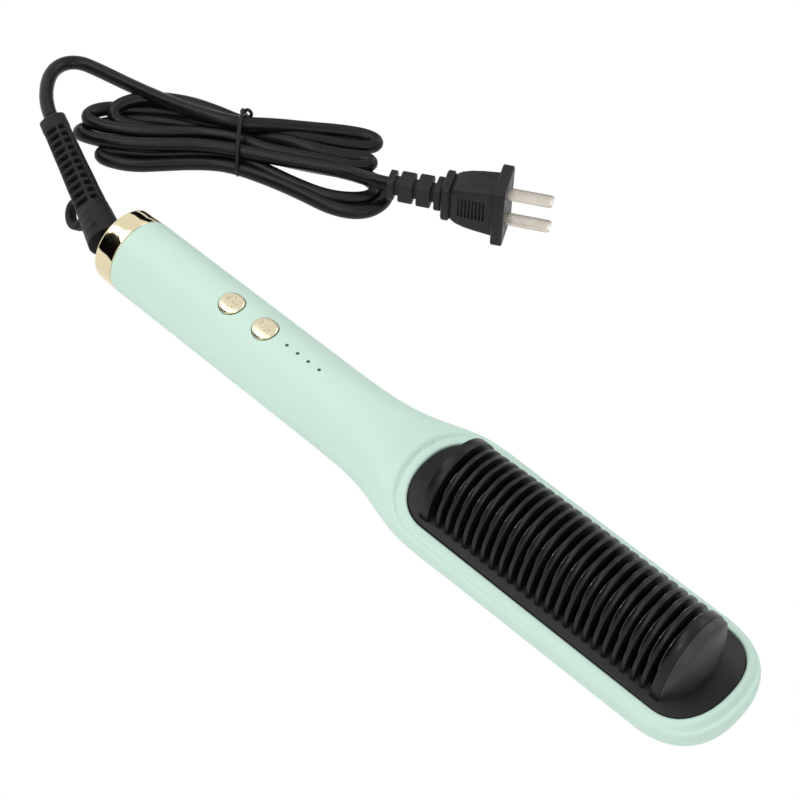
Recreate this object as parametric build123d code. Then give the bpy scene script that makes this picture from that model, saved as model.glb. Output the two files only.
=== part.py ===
from build123d import *
import math
import os

os.makedirs("parts", exist_ok=True)

# ---- driving sizes, millimetres; x runs from the cord end to the tip, z up, rest plane z = 0 ----
body_length = 290.0
handle_half_width = 15.2
handle_half_height = 16.0
underside_extra = 0.3
shell_wall = 2.2
parting_height = 7.0
running_gap = 0.3
seat = 0.02

ring_length = 9.0
ring_wall = 1.0
ring_lip = 1.2
ring_chamfer = 0.5
ring_seam = 0.3

head_half_width = 24.1
head_widest_rise = 2.0
head_top_rise = 11.2
tip_length = 24.4
tip_plan_power = 2.39
tip_top_power = 5.0
tip_bottom_power = 2.6

panel_start = 157.4
panel_end = 285.4
panel_half_width = 19.4
panel_start_round = 15.5
panel_end_round = 15.8
panel_power = 2.25
panel_thickness = 2.0
panel_gap = 0.25
panel_rise = 11.8
crown_radius = 52.0
bead_rise = 12.3
bead_width = 2.6
bead_round = 0.45
ledge_width = 2.2
ledge_thickness = 2.4

rib_count = 23
rib_pitch = 3.97
rib_thickness = 1.6
first_rib_x = 175.53
rib_half_width = 16.6
rib_crest_start = 31.9
rib_crest_end = 34.7
rib_foot_rise = 9.2
end_plate_start = 167.6
end_plate_thickness = 4.2
end_plate_half_width = 17.4
end_block_start = 266.3
end_block_strip = 3.5
end_block_dome = 8.0
slot_width = 1.9
slot_half_length = 13.6

fin_thickness = 0.9
fin_top_below_crest = 4.8
fin_top_half_width = 7.6
fin_foot_half_width = 12.6
comb_base_half_width = 16.8
comb_base_top = 6.6
comb_base_thickness = 2.6

button_x = (61.3, 78.5)
button_radius = 4.85
button_proud = 0.85
button_travel = 0.5
button_flange = 6.3
button_flange_thickness = 0.8
button_ledge_rise = 12.0
button_stem_radius = 1.5
guide_radius = 7.4
light_x = (89.6, 95.0, 100.3, 105.7)
light_hole_radius = 0.65
light_recess = 0.35

board_length = 96.0
board_start = 40.0
board_half_width = 9.5
board_thickness = 1.6
board_top_rise = 4.0

cord_diameter = 5.9
hub_radius = 7.0
hub_clearance = 0.05
hub_flange_radius = 9.4
hub_flange_thickness = 1.6
hub_inner_end = 12.5
spigot_radius = 4.6
spigot_end = 7.5
dome_radius = 11.4
boot_bend_x = -14.6
boot_angle = 156.9
boot_length = 64.2
boot_end_size = 7.4
boot_base_size = 9.2
boot_roll = 40.0
boot_slot_count = 11
boot_slot_pitch = 5.0
boot_slot_width = 2.6
boot_slot_depth = 1.1
boot_first_slot = 6.8
eye_length = 14.8
eye_width = 12.0
eye_hole_length = 9.2
eye_hole_width = 3.9

axis_z = handle_half_height
half_length = body_length / 2
floor_z = -axis_z


def at(distance, side=0.0, rise=0.0):
    """Point in the object's frame from a distance along the body, a side step and a rise over its axis."""
    return Vector(distance - half_length, side, rise + axis_z)


def save(shape, name):
    """Writes one subcomponent."""
    export_step(shape, "parts/" + name + ".step")


def bar(start, end, radius):
    """Round bar between two points."""
    run = end - start
    return Solid.make_cylinder(radius, run.length, Plane(origin=start, z_dir=run.normalized()))


def block(x_range, y_range, rise_range):
    """Box from ranges along the body, sideways and over the axis."""
    low = at(x_range[0], y_range[0], rise_range[0])
    size = (x_range[1] - x_range[0], y_range[1] - y_range[0], rise_range[1] - rise_range[0])
    return Solid.make_box(size[0], size[1], size[2], Plane(origin=low))


def carve(shape, cuts):
    """Largest solid that is left after the cuts."""
    return shape.cut(*cuts).solids().sort_by(SortBy.VOLUME)[-1]


def power_curve(share, power):
    """Height left on a rounded end at a share of its length, both from 0 to 1."""
    return max(1 - share ** power, 0) ** (1 / power)


# ---- the body surface: one table of stations that the outer and the inner surface share ----
neck_start = 112.0
neck_length = 46.0
# share of the neck's length, share of the widening, share of the drop of the top
neck_table = ((0.0, 0.0, 0.0), (0.13, 0.008, 0.02), (0.35, 0.043, 0.10), (0.53, 0.149, 0.25), (0.70, 0.33, 0.46),
              (0.85, 0.60, 0.67), (1.0, 0.835, 0.86), (1.14, 0.96, 0.94), (1.33, 1.0, 0.98), (1.7, 0.99, 1.0))
neck_half_width = head_half_width + 0.5
tip_angles = (0, 12, 24, 35, 45, 54, 62, 69, 75, 80, 84, 87)


def table_value(table, share, column):
    """Smooth value between the rows of a table."""
    last = len(table) - 1
    if share >= table[last][0]:
        return table[last][column]
    row = max(index for index in range(last) if table[index][0] <= share)
    slopes = []
    for index in (row, row + 1):
        before = table[max(index - 1, 0)]
        after = table[min(index + 1, last)]
        slopes.append((after[column] - before[column]) / (after[0] - before[0]))
    width = table[row + 1][0] - table[row][0]
    t = (share - table[row][0]) / width
    start, end = table[row][column], table[row + 1][column]
    blend = t * t * (3 - 2 * t)
    pull = (t - 2 * t * t + t * t * t) * slopes[0] + (t * t * t - t * t) * slopes[1]
    return start + (end - start) * blend + pull * width


def section(x, half_width, top, bottom, widest, power):
    """Closed smooth section of the body at one distance."""
    points = []
    count = 32
    for index in range(count):
        turn = 2 * math.pi * index / count
        side = math.copysign(abs(math.cos(turn)) ** (2 / power), math.cos(turn)) * half_width
        lift = math.copysign(abs(math.sin(turn)) ** (2 / power), math.sin(turn))
        rise = widest + lift * (top - widest if lift > 0 else widest - bottom)
        points.append(at(x, side, rise))
    return Wire([Spline(points, periodic=True).edge()])


def body_places():
    """Distances of the body's sections before the tip."""
    places = [neck_start + neck_length * step / 12 for step in range(15)]
    tip_start = body_length - tip_length
    reach = tip_start - places[-1]
    return places + [places[-1] + reach * step / 6 for step in range(1, 6)]


def body_sections(inset, start):
    """Sections of the body surface moved inwards by the inset."""
    low = floor_z - underside_extra + inset
    wires = [section(start, handle_half_width - inset, handle_half_height - inset, low, 0, 2.0)]
    tip_start = body_length - tip_length
    tip_share = (tip_start - neck_start) / neck_length
    for x in body_places():
        share = (x - neck_start) / neck_length
        wide = table_value(neck_table, share, 1)
        drop = table_value(neck_table, share, 2)
        narrowing = (neck_half_width - head_half_width) * max(share - 1.33, 0) / (tip_share - 1.33)
        half_width = handle_half_width + (neck_half_width - handle_half_width) * wide - narrowing
        top = handle_half_height + (head_top_rise - handle_half_height) * drop
        wires.append(section(x, half_width - inset, top - inset, low, head_widest_rise * drop, 2.0 + 0.3 * drop))
    for angle in tip_angles:
        share = math.sin(math.radians(angle)) ** (2 / tip_plan_power)
        half_width = math.cos(math.radians(angle)) ** (2 / tip_plan_power)
        x = tip_start + (tip_length - inset) * share
        top = (head_top_rise - inset - head_widest_rise) * power_curve(share, tip_top_power)
        bottom = (low - head_widest_rise) * power_curve(share, tip_bottom_power)
        wires.append(section(x, (head_half_width - inset) * half_width, head_widest_rise + top,
                             head_widest_rise + bottom, head_widest_rise, 2.3))
    return wires


def body_solid(inset, start):
    """Closed body between its start and its tip."""
    return Solid.make_loft(body_sections(inset, start), ruled=True)


def panel_points(outset):
    """Outline of the black panel moved outwards: near side, tip, far side, cord end."""
    ends = []
    for centre, reach, sign in ((panel_end - panel_end_round, panel_end_round, 1),
                                (panel_start + panel_start_round, panel_start_round, -1)):
        points = []
        for index in range(17):
            turn = math.pi * (index / 16 - 0.5)
            cosine = max(math.cos(turn), 0)
            sine = math.sin(turn)
            x = reach * cosine ** (2 / panel_power)
            y = panel_half_width * math.copysign(abs(sine) ** (2 / panel_power), sine)
            slope_x = (x / reach) ** (panel_power - 1) / reach
            slope_y = math.copysign((abs(y) / panel_half_width) ** (panel_power - 1) / panel_half_width, y)
            norm = math.hypot(slope_x, slope_y)
            points.append((centre + sign * (x + outset * slope_x / norm),
                           sign * (y + outset * slope_y / norm)))
        ends.append(points)
    return ends


def panel_face(outset):
    """Flat face of the panel's outline, moved outwards by the outset, at the axis height."""
    tip, cord = panel_points(outset)
    tip_points = [at(x, y) for x, y in tip]
    cord_points = [at(x, y) for x, y in cord]
    forward = Vector(1, 0, 0)
    tip_edge = Spline(tip_points, tangents=[forward, forward * -1]).edge()
    cord_edge = Spline(cord_points, tangents=[forward * -1, forward]).edge()
    far_edge = Line(tip_points[-1], cord_points[0]).edge()
    near_edge = Line(cord_points[-1], tip_points[0]).edge()
    return Face(Wire([tip_edge, far_edge, cord_edge, near_edge]))


def crowned(rise):
    """Round bar along the body whose top is a crowned surface at the given rise."""
    radius = crown_radius + rise - panel_rise
    centre = panel_rise - crown_radius
    return bar(at(panel_start - 30, 0, centre), at(body_length + 30, 0, centre), radius)


def prism(face, low, high):
    """The outline swept up between two rises."""
    return Solid.extrude(face.moved(Location((0, 0, low))), Vector(0, 0, high - low))


def crowned_ring(outer, inner, low, high):
    """Ring that follows the panel's outline between two crowned surfaces."""
    ring = prism(panel_face(outer), low - 8, high + 4) - prism(panel_face(inner), low - 9, high + 5)
    return (ring & crowned(high)) - crowned(low)


panel_underside = panel_rise - panel_thickness
ledge_underside = panel_underside - ledge_thickness
parting_rise = parting_height - axis_z
tab_reach = 12.0
neck_void_top = 8.6
tab_half_width = 6.5
comb_post_radius = 2.6
comb_screw_radius = 1.1
comb_screw_head = 3.7
case_screw_radius = 1.25
case_screw_head = 2.7
case_boss_radius = 2.9
case_pillar_radius = 4.0
case_seat_rise = -12.2
head_seat_rise = -10.2
case_screws = ((30.0, 0.0), (146.0, 0.0), (200.0, 15.5), (200.0, -15.5), (258.0, 15.5), (258.0, -15.5))
board_screws = (46.0, 130.0)
board_screw_radius = 1.0
board_screw_head = 1.9
standoff_radius = 1.35
standoff_x = (first_rib_x + 1.5 * rib_pitch, first_rib_x + 20.5 * rib_pitch)
standoffs = [(x, side) for x in standoff_x for side in (-15.2, 15.2)]
pilot_radius = 0.72
pilot_top = 8.7
clamp_screw_x = (179.0, 261.0)


def sleeve(start, end, inset):
    """Straight length of the handle's section."""
    low = floor_z - underside_extra + inset
    ends = [section(x, handle_half_width - inset, handle_half_height - inset, low, 0, 2.0) for x in (start, end)]
    return Solid.make_loft(ends, ruled=True)


def above_floor(shape):
    """Everything over the flat strip of the underside."""
    reach = body_length + 40
    keep = Solid.make_box(reach, reach, reach, Plane(origin=(-reach / 2, -reach / 2, 0)))
    return shape & keep


def rib_x(index):
    """Middle of a rib."""
    return first_rib_x + (index - 1) * rib_pitch


def crest(x):
    """Crest height of the ribs over the axis."""
    share = (x - end_plate_start) / (end_block_start - end_plate_start)
    return rib_crest_end - (rib_crest_end - rib_crest_start) * (1 - min(max(share / 0.55, 0), 1)) ** 2


def arch(x, thickness, half_width, height):
    """Solid arched plate across the head, standing on the panel."""
    plane = Plane(origin=at(x, 0, rib_foot_rise), x_dir=(0, 1, 0), z_dir=(1, 0, 0))
    rise = height - rib_foot_rise
    upper = Ellipse(half_width, rise) & Pos(0, rise / 2) * Rectangle(3 * half_width, rise)
    lower = Pos(0, -rib_foot_rise / 2) * Rectangle(2 * half_width, rib_foot_rise)
    return extrude(plane * (upper + lower), thickness).solid() - crowned(panel_underside)


def head_tabs():
    """Two tabs that carry the comb cover's screws at the ends of the opening."""
    tabs = []
    for low, high in ((panel_start - 1, panel_start + tab_reach), (panel_end - tab_reach, panel_end + 1)):
        tab = block((low, high), (-tab_half_width, tab_half_width), (0, 20)) & crowned(panel_underside)
        tabs.append(tab - crowned(ledge_underside))
    return tabs


cover_screws_x = (panel_start + 7.0, panel_end - 7.0)


def handle_void():
    """Hollow of the handle, tapered down into the head."""
    low = floor_z - underside_extra + shell_wall
    straight = sleeve(-1, neck_start, shell_wall)
    ends = [section(neck_start - 0.01, handle_half_width - shell_wall, handle_half_height - shell_wall, low, 0, 2.0),
            section(panel_start + ledge_width + 3, handle_half_width - 0.4, neck_void_top, low, 0, 2.0)]
    return straight.fuse(Solid.make_loft(ends, ruled=True))


def main_shell():
    """Upper housing: handle and head down to the parting plane, with its openings and bosses."""
    reach = body_length + 40
    upper = Solid.make_box(reach, reach, reach, Plane(origin=(-reach / 2, -reach / 2, parting_height)))
    outer = body_solid(0.0, ring_length + ring_seam)
    body = outer.fuse(sleeve(ring_lip + running_gap, ring_length + 4, ring_wall + 0.1))
    body = body.fuse(crowned_ring(bead_width + panel_gap, panel_gap, ledge_underside, bead_rise)) & upper
    fillings = []
    for x in button_x:
        fillings.append(bar(at(x, 0, button_ledge_rise), at(x, 0, 20), guide_radius))
    for x in board_screws:
        fillings.append(bar(at(x, 0, board_top_rise), at(x, 0, 20), 3.0))
    for x, side in case_screws:
        if side == 0:
            fillings.append(bar(at(x, side, parting_rise - 1), at(x, side, 20), case_boss_radius))
    body = body.cut(handle_void().cut(*fillings))
    opening = prism(panel_face(-ledge_width), floor_z, 40)
    for low, high in ((panel_start - 4, panel_start + tab_reach), (panel_end - tab_reach, panel_end + 4)):
        opening = opening - (block((low, high), (-tab_half_width, tab_half_width), (0, 60)) - crowned(ledge_underside))
    for x, side in case_screws:
        if side != 0:
            opening = opening - bar(at(x, side, parting_rise - 1), at(x, side, parting_rise + 8.5), case_boss_radius)
    holes = [opening, prism(panel_face(panel_gap), 0, 40) - crowned(panel_underside)]
    for x in button_x:
        holes.append(bar(at(x, 0, 5), at(x, 0, 40), button_radius + running_gap))
    for x in light_x:
        holes.append(bar(at(x, 0, 5), at(x, 0, 40), light_hole_radius + 0.05))
    for x in cover_screws_x:
        holes.append(bar(at(x, 0, 0), at(x, 0, 40), comb_post_radius + 0.1))
    for x in board_screws:
        holes.append(bar(at(x, 0, 0), at(x, 0, board_top_rise + 6), board_screw_radius))
    for x, side in case_screws:
        holes.append(bar(at(x, side, parting_rise - 1), at(x, side, parting_rise + 8), case_screw_radius))
    return carve(body, holes)


def back_cover():
    """Lower housing under the parting plane, with its screw pillars."""
    reach = body_length + 40
    lower = Solid.make_box(reach, reach, parting_height, Plane(origin=(-reach / 2, -reach / 2, 0)))
    outer = body_solid(0.0, ring_length + ring_seam)
    body = outer.fuse(sleeve(ring_lip + running_gap, ring_length + 4, ring_wall + 0.1)) & lower
    pillars = []
    holes = []
    for x, side in case_screws:
        pillars.append(bar(at(x, side, floor_z), at(x, side, parting_rise + 1), case_pillar_radius))
        seat_rise = case_seat_rise if side == 0 else head_seat_rise
        holes.append(bar(at(x, side, floor_z - 2), at(x, side, seat_rise), case_screw_head + 0.3))
        holes.append(bar(at(x, side, floor_z - 2), at(x, side, 0), case_screw_radius + 0.2))
    head_void = prism(panel_face(-ledge_width - 0.6), floor_z + 6.6, 0)
    head_void = head_void.fuse(prism(panel_face(-ledge_width - 5.5), floor_z + 2.6, floor_z + 7))
    body = body.cut(handle_void().cut(*pillars), head_void.cut(*pillars))
    return carve(body, holes)


def end_ring():
    """Polished ring round the cord end, with a turned-in lip."""
    low = floor_z - underside_extra
    stations = ((0.0, ring_chamfer), (ring_chamfer, 0.0), (ring_length, 0.0))
    wires = [section(x, handle_half_width - inset, handle_half_height - inset, low + inset, 0, 2.0)
             for x, inset in stations]
    ring = Solid.make_loft(wires, ruled=True) - sleeve(ring_lip, ring_length + 1, ring_wall)
    ring = ring - bar(at(-1), at(ring_lip + 1), dome_radius + 0.7)
    return above_floor(ring)


def end_cap():
    """Bearing disc behind the ring's lip, in which the cord's hub turns."""
    cap = sleeve(ring_lip + 0.05, ring_length, shell_wall + 0.05)
    return cap - bar(at(0), at(20), hub_radius + hub_clearance)


def swivel_hub():
    """Turning hub: journal, inner flange and the socket for the boot's spigot."""
    hub = bar(at(0), at(hub_inner_end), hub_radius) - bar(at(-1), at(spigot_end), spigot_radius + seat)
    flange = bar(at(ring_length + running_gap), at(ring_length + running_gap + hub_flange_thickness),
                 hub_flange_radius)
    hub = hub.fuse(flange)
    for pin in contact_pins():
        hub = hub - pin
    return hub


def contact_pins():
    """Centre pin and ring of the turning contacts."""
    pin = bar(at(hub_inner_end - 4), at(hub_inner_end + 3.6), 1.2)
    ring = bar(at(hub_inner_end - 4), at(hub_inner_end + 1.6), 5.0)
    ring = ring - bar(at(hub_inner_end - 5), at(hub_inner_end + 3), 4.2)
    return [pin, ring]


block_start = hub_inner_end + 2.4
block_end = block_start + 6.0


def contact_springs():
    """Leaf for the centre pin and wiper for the contact ring."""
    face = hub_inner_end + 3.6 + running_gap
    leaf = block((face, face + 0.4), (-6.6, 6.6), (-1.3, 1.3))
    wiper_x = hub_inner_end + 1.6 + running_gap
    wiper = block((wiper_x, block_start), (-1.5, 1.5), (3.8, 9.5))
    return [leaf, wiper]


def contact_block():
    """Carrier of the fixed contacts across the handle."""
    carrier = sleeve(block_start, block_end, shell_wall + 0.05)
    carrier = carrier - bar(at(block_start - 1), at(block_start + 3.4), 5.8)
    for spring in contact_springs():
        carrier = carrier - spring
    for side in (-4.5, 4.5):
        carrier = carrier - bar(at(block_start + 1, side, -7), at(block_end + 1, side, -7), 0.9)
    return carrier - block((block_start - 1, block_end + 1), (-20, 20), (-20, parting_rise + 0.02))


def comb_cover():
    """Heat-resistant panel with its thin arched ribs, thick plate, end block and screw posts."""
    cover = (prism(panel_face(0.0), 0, 30) & crowned(panel_rise)) - crowned(panel_underside)
    top = crest(end_block_start)
    base_x = end_block_start + end_block_strip
    wires = []
    for rise, bulge in ((4.0, end_block_dome + 0.3), (16.0, 7.2), (27.0, 5.0), (36.0, 1.4)):
        wires.append(Wire([Line(at(base_x - 1, 17, rise), at(base_x - 1, -17, rise)).edge(),
                           ThreePointArc(at(base_x - 1, -17, rise), at(base_x + bulge, 0, rise),
                                         at(base_x - 1, 17, rise)).edge()]))
    dome = Solid.make_loft(wires, ruled=False)
    pieces = [arch(end_plate_start, end_plate_thickness, end_plate_half_width, crest(end_plate_start)),
              arch(end_block_start, end_block_strip, rib_half_width + 0.3, top),
              dome & arch(end_block_start + 0.5, end_block_strip + 20, rib_half_width + 0.3, top)]
    for x in cover_screws_x:
        pieces.append(bar(at(x, 0, ledge_underside), at(x, 0, panel_underside + 0.5), comb_post_radius))
    for index in range(1, rib_count + 1):
        x = rib_x(index)
        pieces.append(arch(x - rib_thickness / 2, rib_thickness, rib_half_width, crest(x)))
    for x, side in standoffs:
        cover = cover.fuse(bar(at(x, side, comb_base_top), at(x, side, panel_underside - 1), standoff_radius))
    for piece in pieces:
        cover = cover.fuse(piece)
    cover = cover.cut(*[bar(at(x, side, 5), at(x, side, pilot_top), pilot_radius) for x, side in standoffs])
    slots = []
    for x in fin_places():
        slots.append(block((x - slot_width / 2, x + slot_width / 2), (-slot_half_length, slot_half_length), (5, 14)))
    cover = carve(cover, slots)
    for x in cover_screws_x:
        cover = cover.cut(bar(at(x, 0, 0), at(x, 0, panel_underside + 1.2), comb_screw_radius)).solid()
    return cover


def fin_places():
    """Middles of the gaps that the heated fins stand in."""
    first = (end_plate_start + end_plate_thickness + rib_x(1) - rib_thickness / 2) / 2
    last = (rib_x(rib_count) + rib_thickness / 2 + end_block_start) / 2
    middle = [rib_x(index) + rib_pitch / 2 for index in range(1, rib_count)]
    return [first] + middle + [last]


comb_base_range = (panel_start + tab_reach + 1.0, panel_end - tab_reach - 4.6)


def heated_comb():
    """Coated comb: flat base under the panel and one bell-shaped fin in every gap."""
    base = block(comb_base_range, (-comb_base_half_width, comb_base_half_width),
                 (comb_base_top - comb_base_thickness, comb_base_top))
    fins = []
    for x in fin_places():
        top = crest(x) - fin_top_below_crest
        foot = comb_base_top - 0.5
        height = top - foot
        plane = Plane(origin=at(x - fin_thickness / 2), x_dir=(0, 1, 0), z_dir=(1, 0, 0))
        side = [(0, top), (fin_top_half_width * 0.62, top - 0.06 * height),
                (fin_top_half_width, top - 0.26 * height), (fin_top_half_width + 1.6, top - 0.5 * height),
                (fin_foot_half_width - 0.8, top - 0.68 * height), (fin_foot_half_width, top - 0.84 * height)]
        points = [(-y, z) for y, z in reversed(side)] + side[1:]
        curve = Spline(points)
        low = Polyline((fin_foot_half_width, points[-1][1]), (fin_foot_half_width, foot),
                       (-fin_foot_half_width, foot), (-fin_foot_half_width, points[0][1]))
        fins.append(extrude(plane * make_face(curve + low), fin_thickness).solid())
    comb = base.fuse(*fins)
    for x in clamp_screw_x:
        comb = comb - bar(at(x, 0, 0), at(x, 0, comb_base_top - 0.6), 1.0)
    for x, side in standoffs:
        comb = comb - bar(at(x, side, 0), at(x, side, comb_base_top + 1), 0.85)
    return comb


heater_top = comb_base_top - comb_base_thickness
mica_top = heater_top - 1.6
clamp_top = mica_top - 0.4
clamp_bottom = clamp_top - 1.0


def ceramic_heater():
    """Flat ceramic element under the comb's base."""
    return block((185, 255), (-6, 6), (mica_top, heater_top))


def mica_sheet():
    """Insulating sheet between element and clamp."""
    return block((184, 256), (-8, 8), (clamp_top, mica_top))


def heater_clamp():
    """Steel strip that presses the element on."""
    clamp = block((clamp_screw_x[0] - 4, clamp_screw_x[1] + 4), (-8.5, 8.5), (clamp_bottom, clamp_top))
    for x in clamp_screw_x:
        clamp = clamp - bar(at(x, 0, 0), at(x, 0, 20), 1.2)
    return clamp


def screw(x, side, seat_rise, top_rise, radius, head_radius, head_thickness):
    """Screw standing upwards with its head under the seat."""
    shank = bar(at(x, side, seat_rise), at(x, side, top_rise), radius)
    head = bar(at(x, side, seat_rise - head_thickness), at(x, side, seat_rise), head_radius)
    drive = bar(at(x, side, seat_rise - head_thickness), at(x, side, seat_rise - head_thickness / 2),
                head_radius * 0.35)
    return shank.fuse(head) - drive


def screw_groups():
    """The five kinds of screw, one list each."""
    groups = {}
    groups["case_screws"] = [screw(x, side, case_seat_rise if side == 0 else head_seat_rise, parting_rise + 7.5,
                                   case_screw_radius, case_screw_head, 1.4) for x, side in case_screws]
    cover_seat = ledge_underside - comb_screw_head ** 2 / (2 * crown_radius) - 0.05
    groups["cover_screws"] = [screw(x, 0, cover_seat, panel_underside + 1.1, comb_screw_radius,
                                    comb_screw_head, 1.4) for x in cover_screws_x]
    groups["board_screws"] = [screw(x, 0, board_top_rise - board_thickness, board_top_rise + 5.5,
                                    board_screw_radius, board_screw_head, 1.2) for x in board_screws]
    groups["clamp_screws"] = [screw(x, 0, clamp_bottom, comb_base_top - 0.7, 1.0, 2.0, 1.2)
                              for x in clamp_screw_x]
    groups["comb_screws"] = [screw(x, side, heater_top, 8.5, 0.7, 1.3, 0.9) for x, side in standoffs]
    return groups


def thermal_fuse():
    """Cut-out tube beside the clamp, against the comb's base."""
    return bar(at(190, 11.2, heater_top - 1.7), at(203, 11.2, heater_top - 1.7), 1.7)


def temperature_sensor():
    """Bead sensor against the comb's base."""
    return block((206, 212), (-12.6, -9.4), (heater_top - 1.8, heater_top))


def control_board():
    """Circuit board under the buttons."""
    board = block((board_start, board_start + board_length), (-board_half_width, board_half_width),
                  (board_top_rise - board_thickness, board_top_rise))
    for x in board_screws:
        board = board - bar(at(x, 0, 0), at(x, 0, 9), board_screw_radius + 0.2)
    return board


def push_switches():
    """The two push switches on the board."""
    switches = []
    for x in button_x:
        body = block((x - 3, x + 3), (-3, 3), (board_top_rise, board_top_rise + 3.4))
        knob = bar(at(x, 0, board_top_rise + 3.4), at(x, 0, board_top_rise + 4.2), 1.6)
        switches.append(body.fuse(knob))
    return switches


def indicator_lights():
    """Four small lights on the board under the holes."""
    lights = []
    for x in light_x:
        lights.append(bar(at(x, 0, board_top_rise), at(x, 0, board_top_rise + 2.6), 1.5))
    return lights


def light_guide():
    """Clear strip with four short rods that end just under the handle's surface."""
    bar_top = handle_half_height - shell_wall - 0.12
    guide = block((light_x[0] - 2, light_x[3] + 2), (-1.5, 1.5), (bar_top - 1.6, bar_top))
    rods = [bar(at(x, 0, bar_top - 0.5), at(x, 0, handle_half_height - light_recess), light_hole_radius)
            for x in light_x]
    return guide.fuse(*rods)


def board_parts():
    """Larger components on the underside of the board."""
    under = board_top_rise - board_thickness
    parts = {}
    parts["supply_capacitor"] = bar(at(66, 0, under - 5.2), at(82, 0, under - 5.2), 5.0)
    parts["film_capacitor"] = block((90, 106), (-6.5, 6.5), (under - 9, under))
    parts["power_triac"] = block((110, 120), (-5.2, 5.2), (under - 4.6, under))
    parts["glass_fuse"] = bar(at(46, 6, under - 2.6), at(64, 6, under - 2.6), 2.6)
    parts["wire_terminal"] = block((121.5, 127), (-8, 8), (under - 7, under))
    return parts


def route(points, name):
    """Path of straight runs joined by tangent arcs; the bend radii are printed."""
    edges = []
    radii = []
    start = points[0]
    for before, corner, after in zip(points, points[1:], points[2:]):
        into = (corner - before).normalized()
        out = (after - corner).normalized()
        turn = math.acos(max(-1, min(1, into.dot(out))))
        setback = 0.45 * min((corner - before).length, (after - corner).length)
        radius = setback / math.tan(turn / 2)
        first = corner - into * setback
        last = corner + out * setback
        inward = (out - into).normalized()
        middle = corner + inward * (radius / math.cos(turn / 2) - radius)
        edges.append(Line(start, first).edge())
        edges.append(ThreePointArc(first, middle, last).edge())
        radii.append(round(radius, 1))
        start = last
    edges.append(Line(start, points[-1]).edge())
    wire = Wire(edges)
    print(name, "bend radii", radii, "length", round(wire.length, 1))
    return wire


def tube(points, diameter, name):
    """Round cord or wire along a route."""
    wire = route(points, name)
    profile = Plane(origin=points[0], z_dir=(points[1] - points[0]).normalized()) * Circle(diameter / 2)
    return sweep(profile, path=wire).solid()


def inner_wires():
    """Insulated wires inside the housing, one list per node."""
    under = board_top_rise - board_thickness
    supply = []
    for side in (-4.5, 4.5):
        supply.append([at(block_start + 1.2, side, -7), at(block_end + 5, side, -7), at(block_end + 11, side * 1.3, -4),
                       at(board_start + 3, side * 1.3, -1.5), at(board_start + 3.4, side * 1.3, under)])
    heater = []
    for side in (-6.0, 6.0):
        heater.append([at(127, side, under - 3), at(137, side, under - 3), at(160, side, -2.2),
                       at(172, side * 0.6, mica_top + 0.8), at(185, side * 0.5, mica_top + 0.8)])
    sensor = []
    for side in (-10.2, -11.8):
        sensor.append([at(board_start + board_length, side + 3, board_top_rise - 0.8),
                       at(board_start + board_length + 10, side + 2, board_top_rise - 1.2),
                       at(182, side, heater_top - 2.2), at(206, side, heater_top - 0.9)])
    return supply, heater, sensor


def button(x, symbol):
    """Round push button: curved top, guide skirt, retaining flange and stem."""
    raised = []
    for place in (x - 8, x + 8):
        raised.append(section(place, handle_half_width + button_proud, handle_half_height + button_proud,
                              floor_z, 0, 2.0))
    top = bar(at(x, 0, 6), at(x, 0, 30), button_radius) & Solid.make_loft(raised, ruled=True)
    flange_top = button_ledge_rise - running_gap
    flange_bottom = flange_top - button_flange_thickness
    cap = top - bar(at(x, 0, 0), at(x, 0, flange_bottom), 10)
    flange = bar(at(x, 0, flange_bottom), at(x, 0, flange_top), button_flange)
    stem_end = board_top_rise + 4.2 + button_travel + running_gap
    stem = bar(at(x, 0, stem_end), at(x, 0, flange_bottom), button_stem_radius)
    cap = cap.fuse(flange, stem)
    for cut in symbol(x):
        cap = cap - cut
    return cap


def symbol_groove(face, x):
    """Shallow groove from a flat outline, following the button's curved top."""
    low = handle_half_height + button_proud - 0.22
    deep = Solid.extrude(face.moved(Location(at(x, 0, 10))), Vector(0, 0, 20))
    below = []
    for place in (x - 8, x + 8):
        below.append(section(place, handle_half_width + button_proud - 0.22, low, floor_z, 0, 2.0))
    return deep - Solid.make_loft(below, ruled=True)


def power_symbol(x):
    """Open ring with a stroke through its gap."""
    ring = (Circle(2.55) - Circle(2.15)) - Pos(1.9, 0) * Rectangle(2.2, 1.5)
    stroke = Pos(1.5, 0) * Rectangle(2.6, 0.4)
    return [symbol_groove(ring.face(), x), symbol_groove(stroke.face(), x)]


def heat_symbol(x):
    """Curved mark beside a small four-ray mark."""
    mark = (Pos(-1.1, 0.4) * (Circle(1.7) - Circle(1.35))) - Pos(0.6, 0.4) * Rectangle(2.0, 4.2)
    rays = []
    for turn in (45, 135, 225, 315):
        place = Pos(1.7, -0.7) * Rot(0, 0, turn) * Pos(0.85, 0) * Rectangle(0.8, 0.32)
        rays.append(symbol_groove(place.face(), x))
    return [symbol_groove(mark.face(), x)] + rays


# ---- cord, boot and plug: everything that turns with the hub ----
boot_origin = at(boot_bend_x)
boot_axis = Vector(math.cos(math.radians(boot_angle)), math.sin(math.radians(boot_angle)), 0)
boot_end = boot_origin + boot_axis * boot_length


def boot_plane(distance):
    """Plane across the boot at a distance from its bend."""
    across = Vector(-boot_axis.Y, boot_axis.X, 0)
    roll = math.radians(boot_roll)
    x_dir = across * math.cos(roll) + Vector(0, 0, 1) * math.sin(roll)
    return Plane(origin=boot_origin + boot_axis * distance, x_dir=x_dir, z_dir=boot_axis)


def boot_size(distance):
    """Width of the boot's square section."""
    share = distance / boot_length
    return boot_base_size + (boot_end_size - boot_base_size) * share


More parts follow.
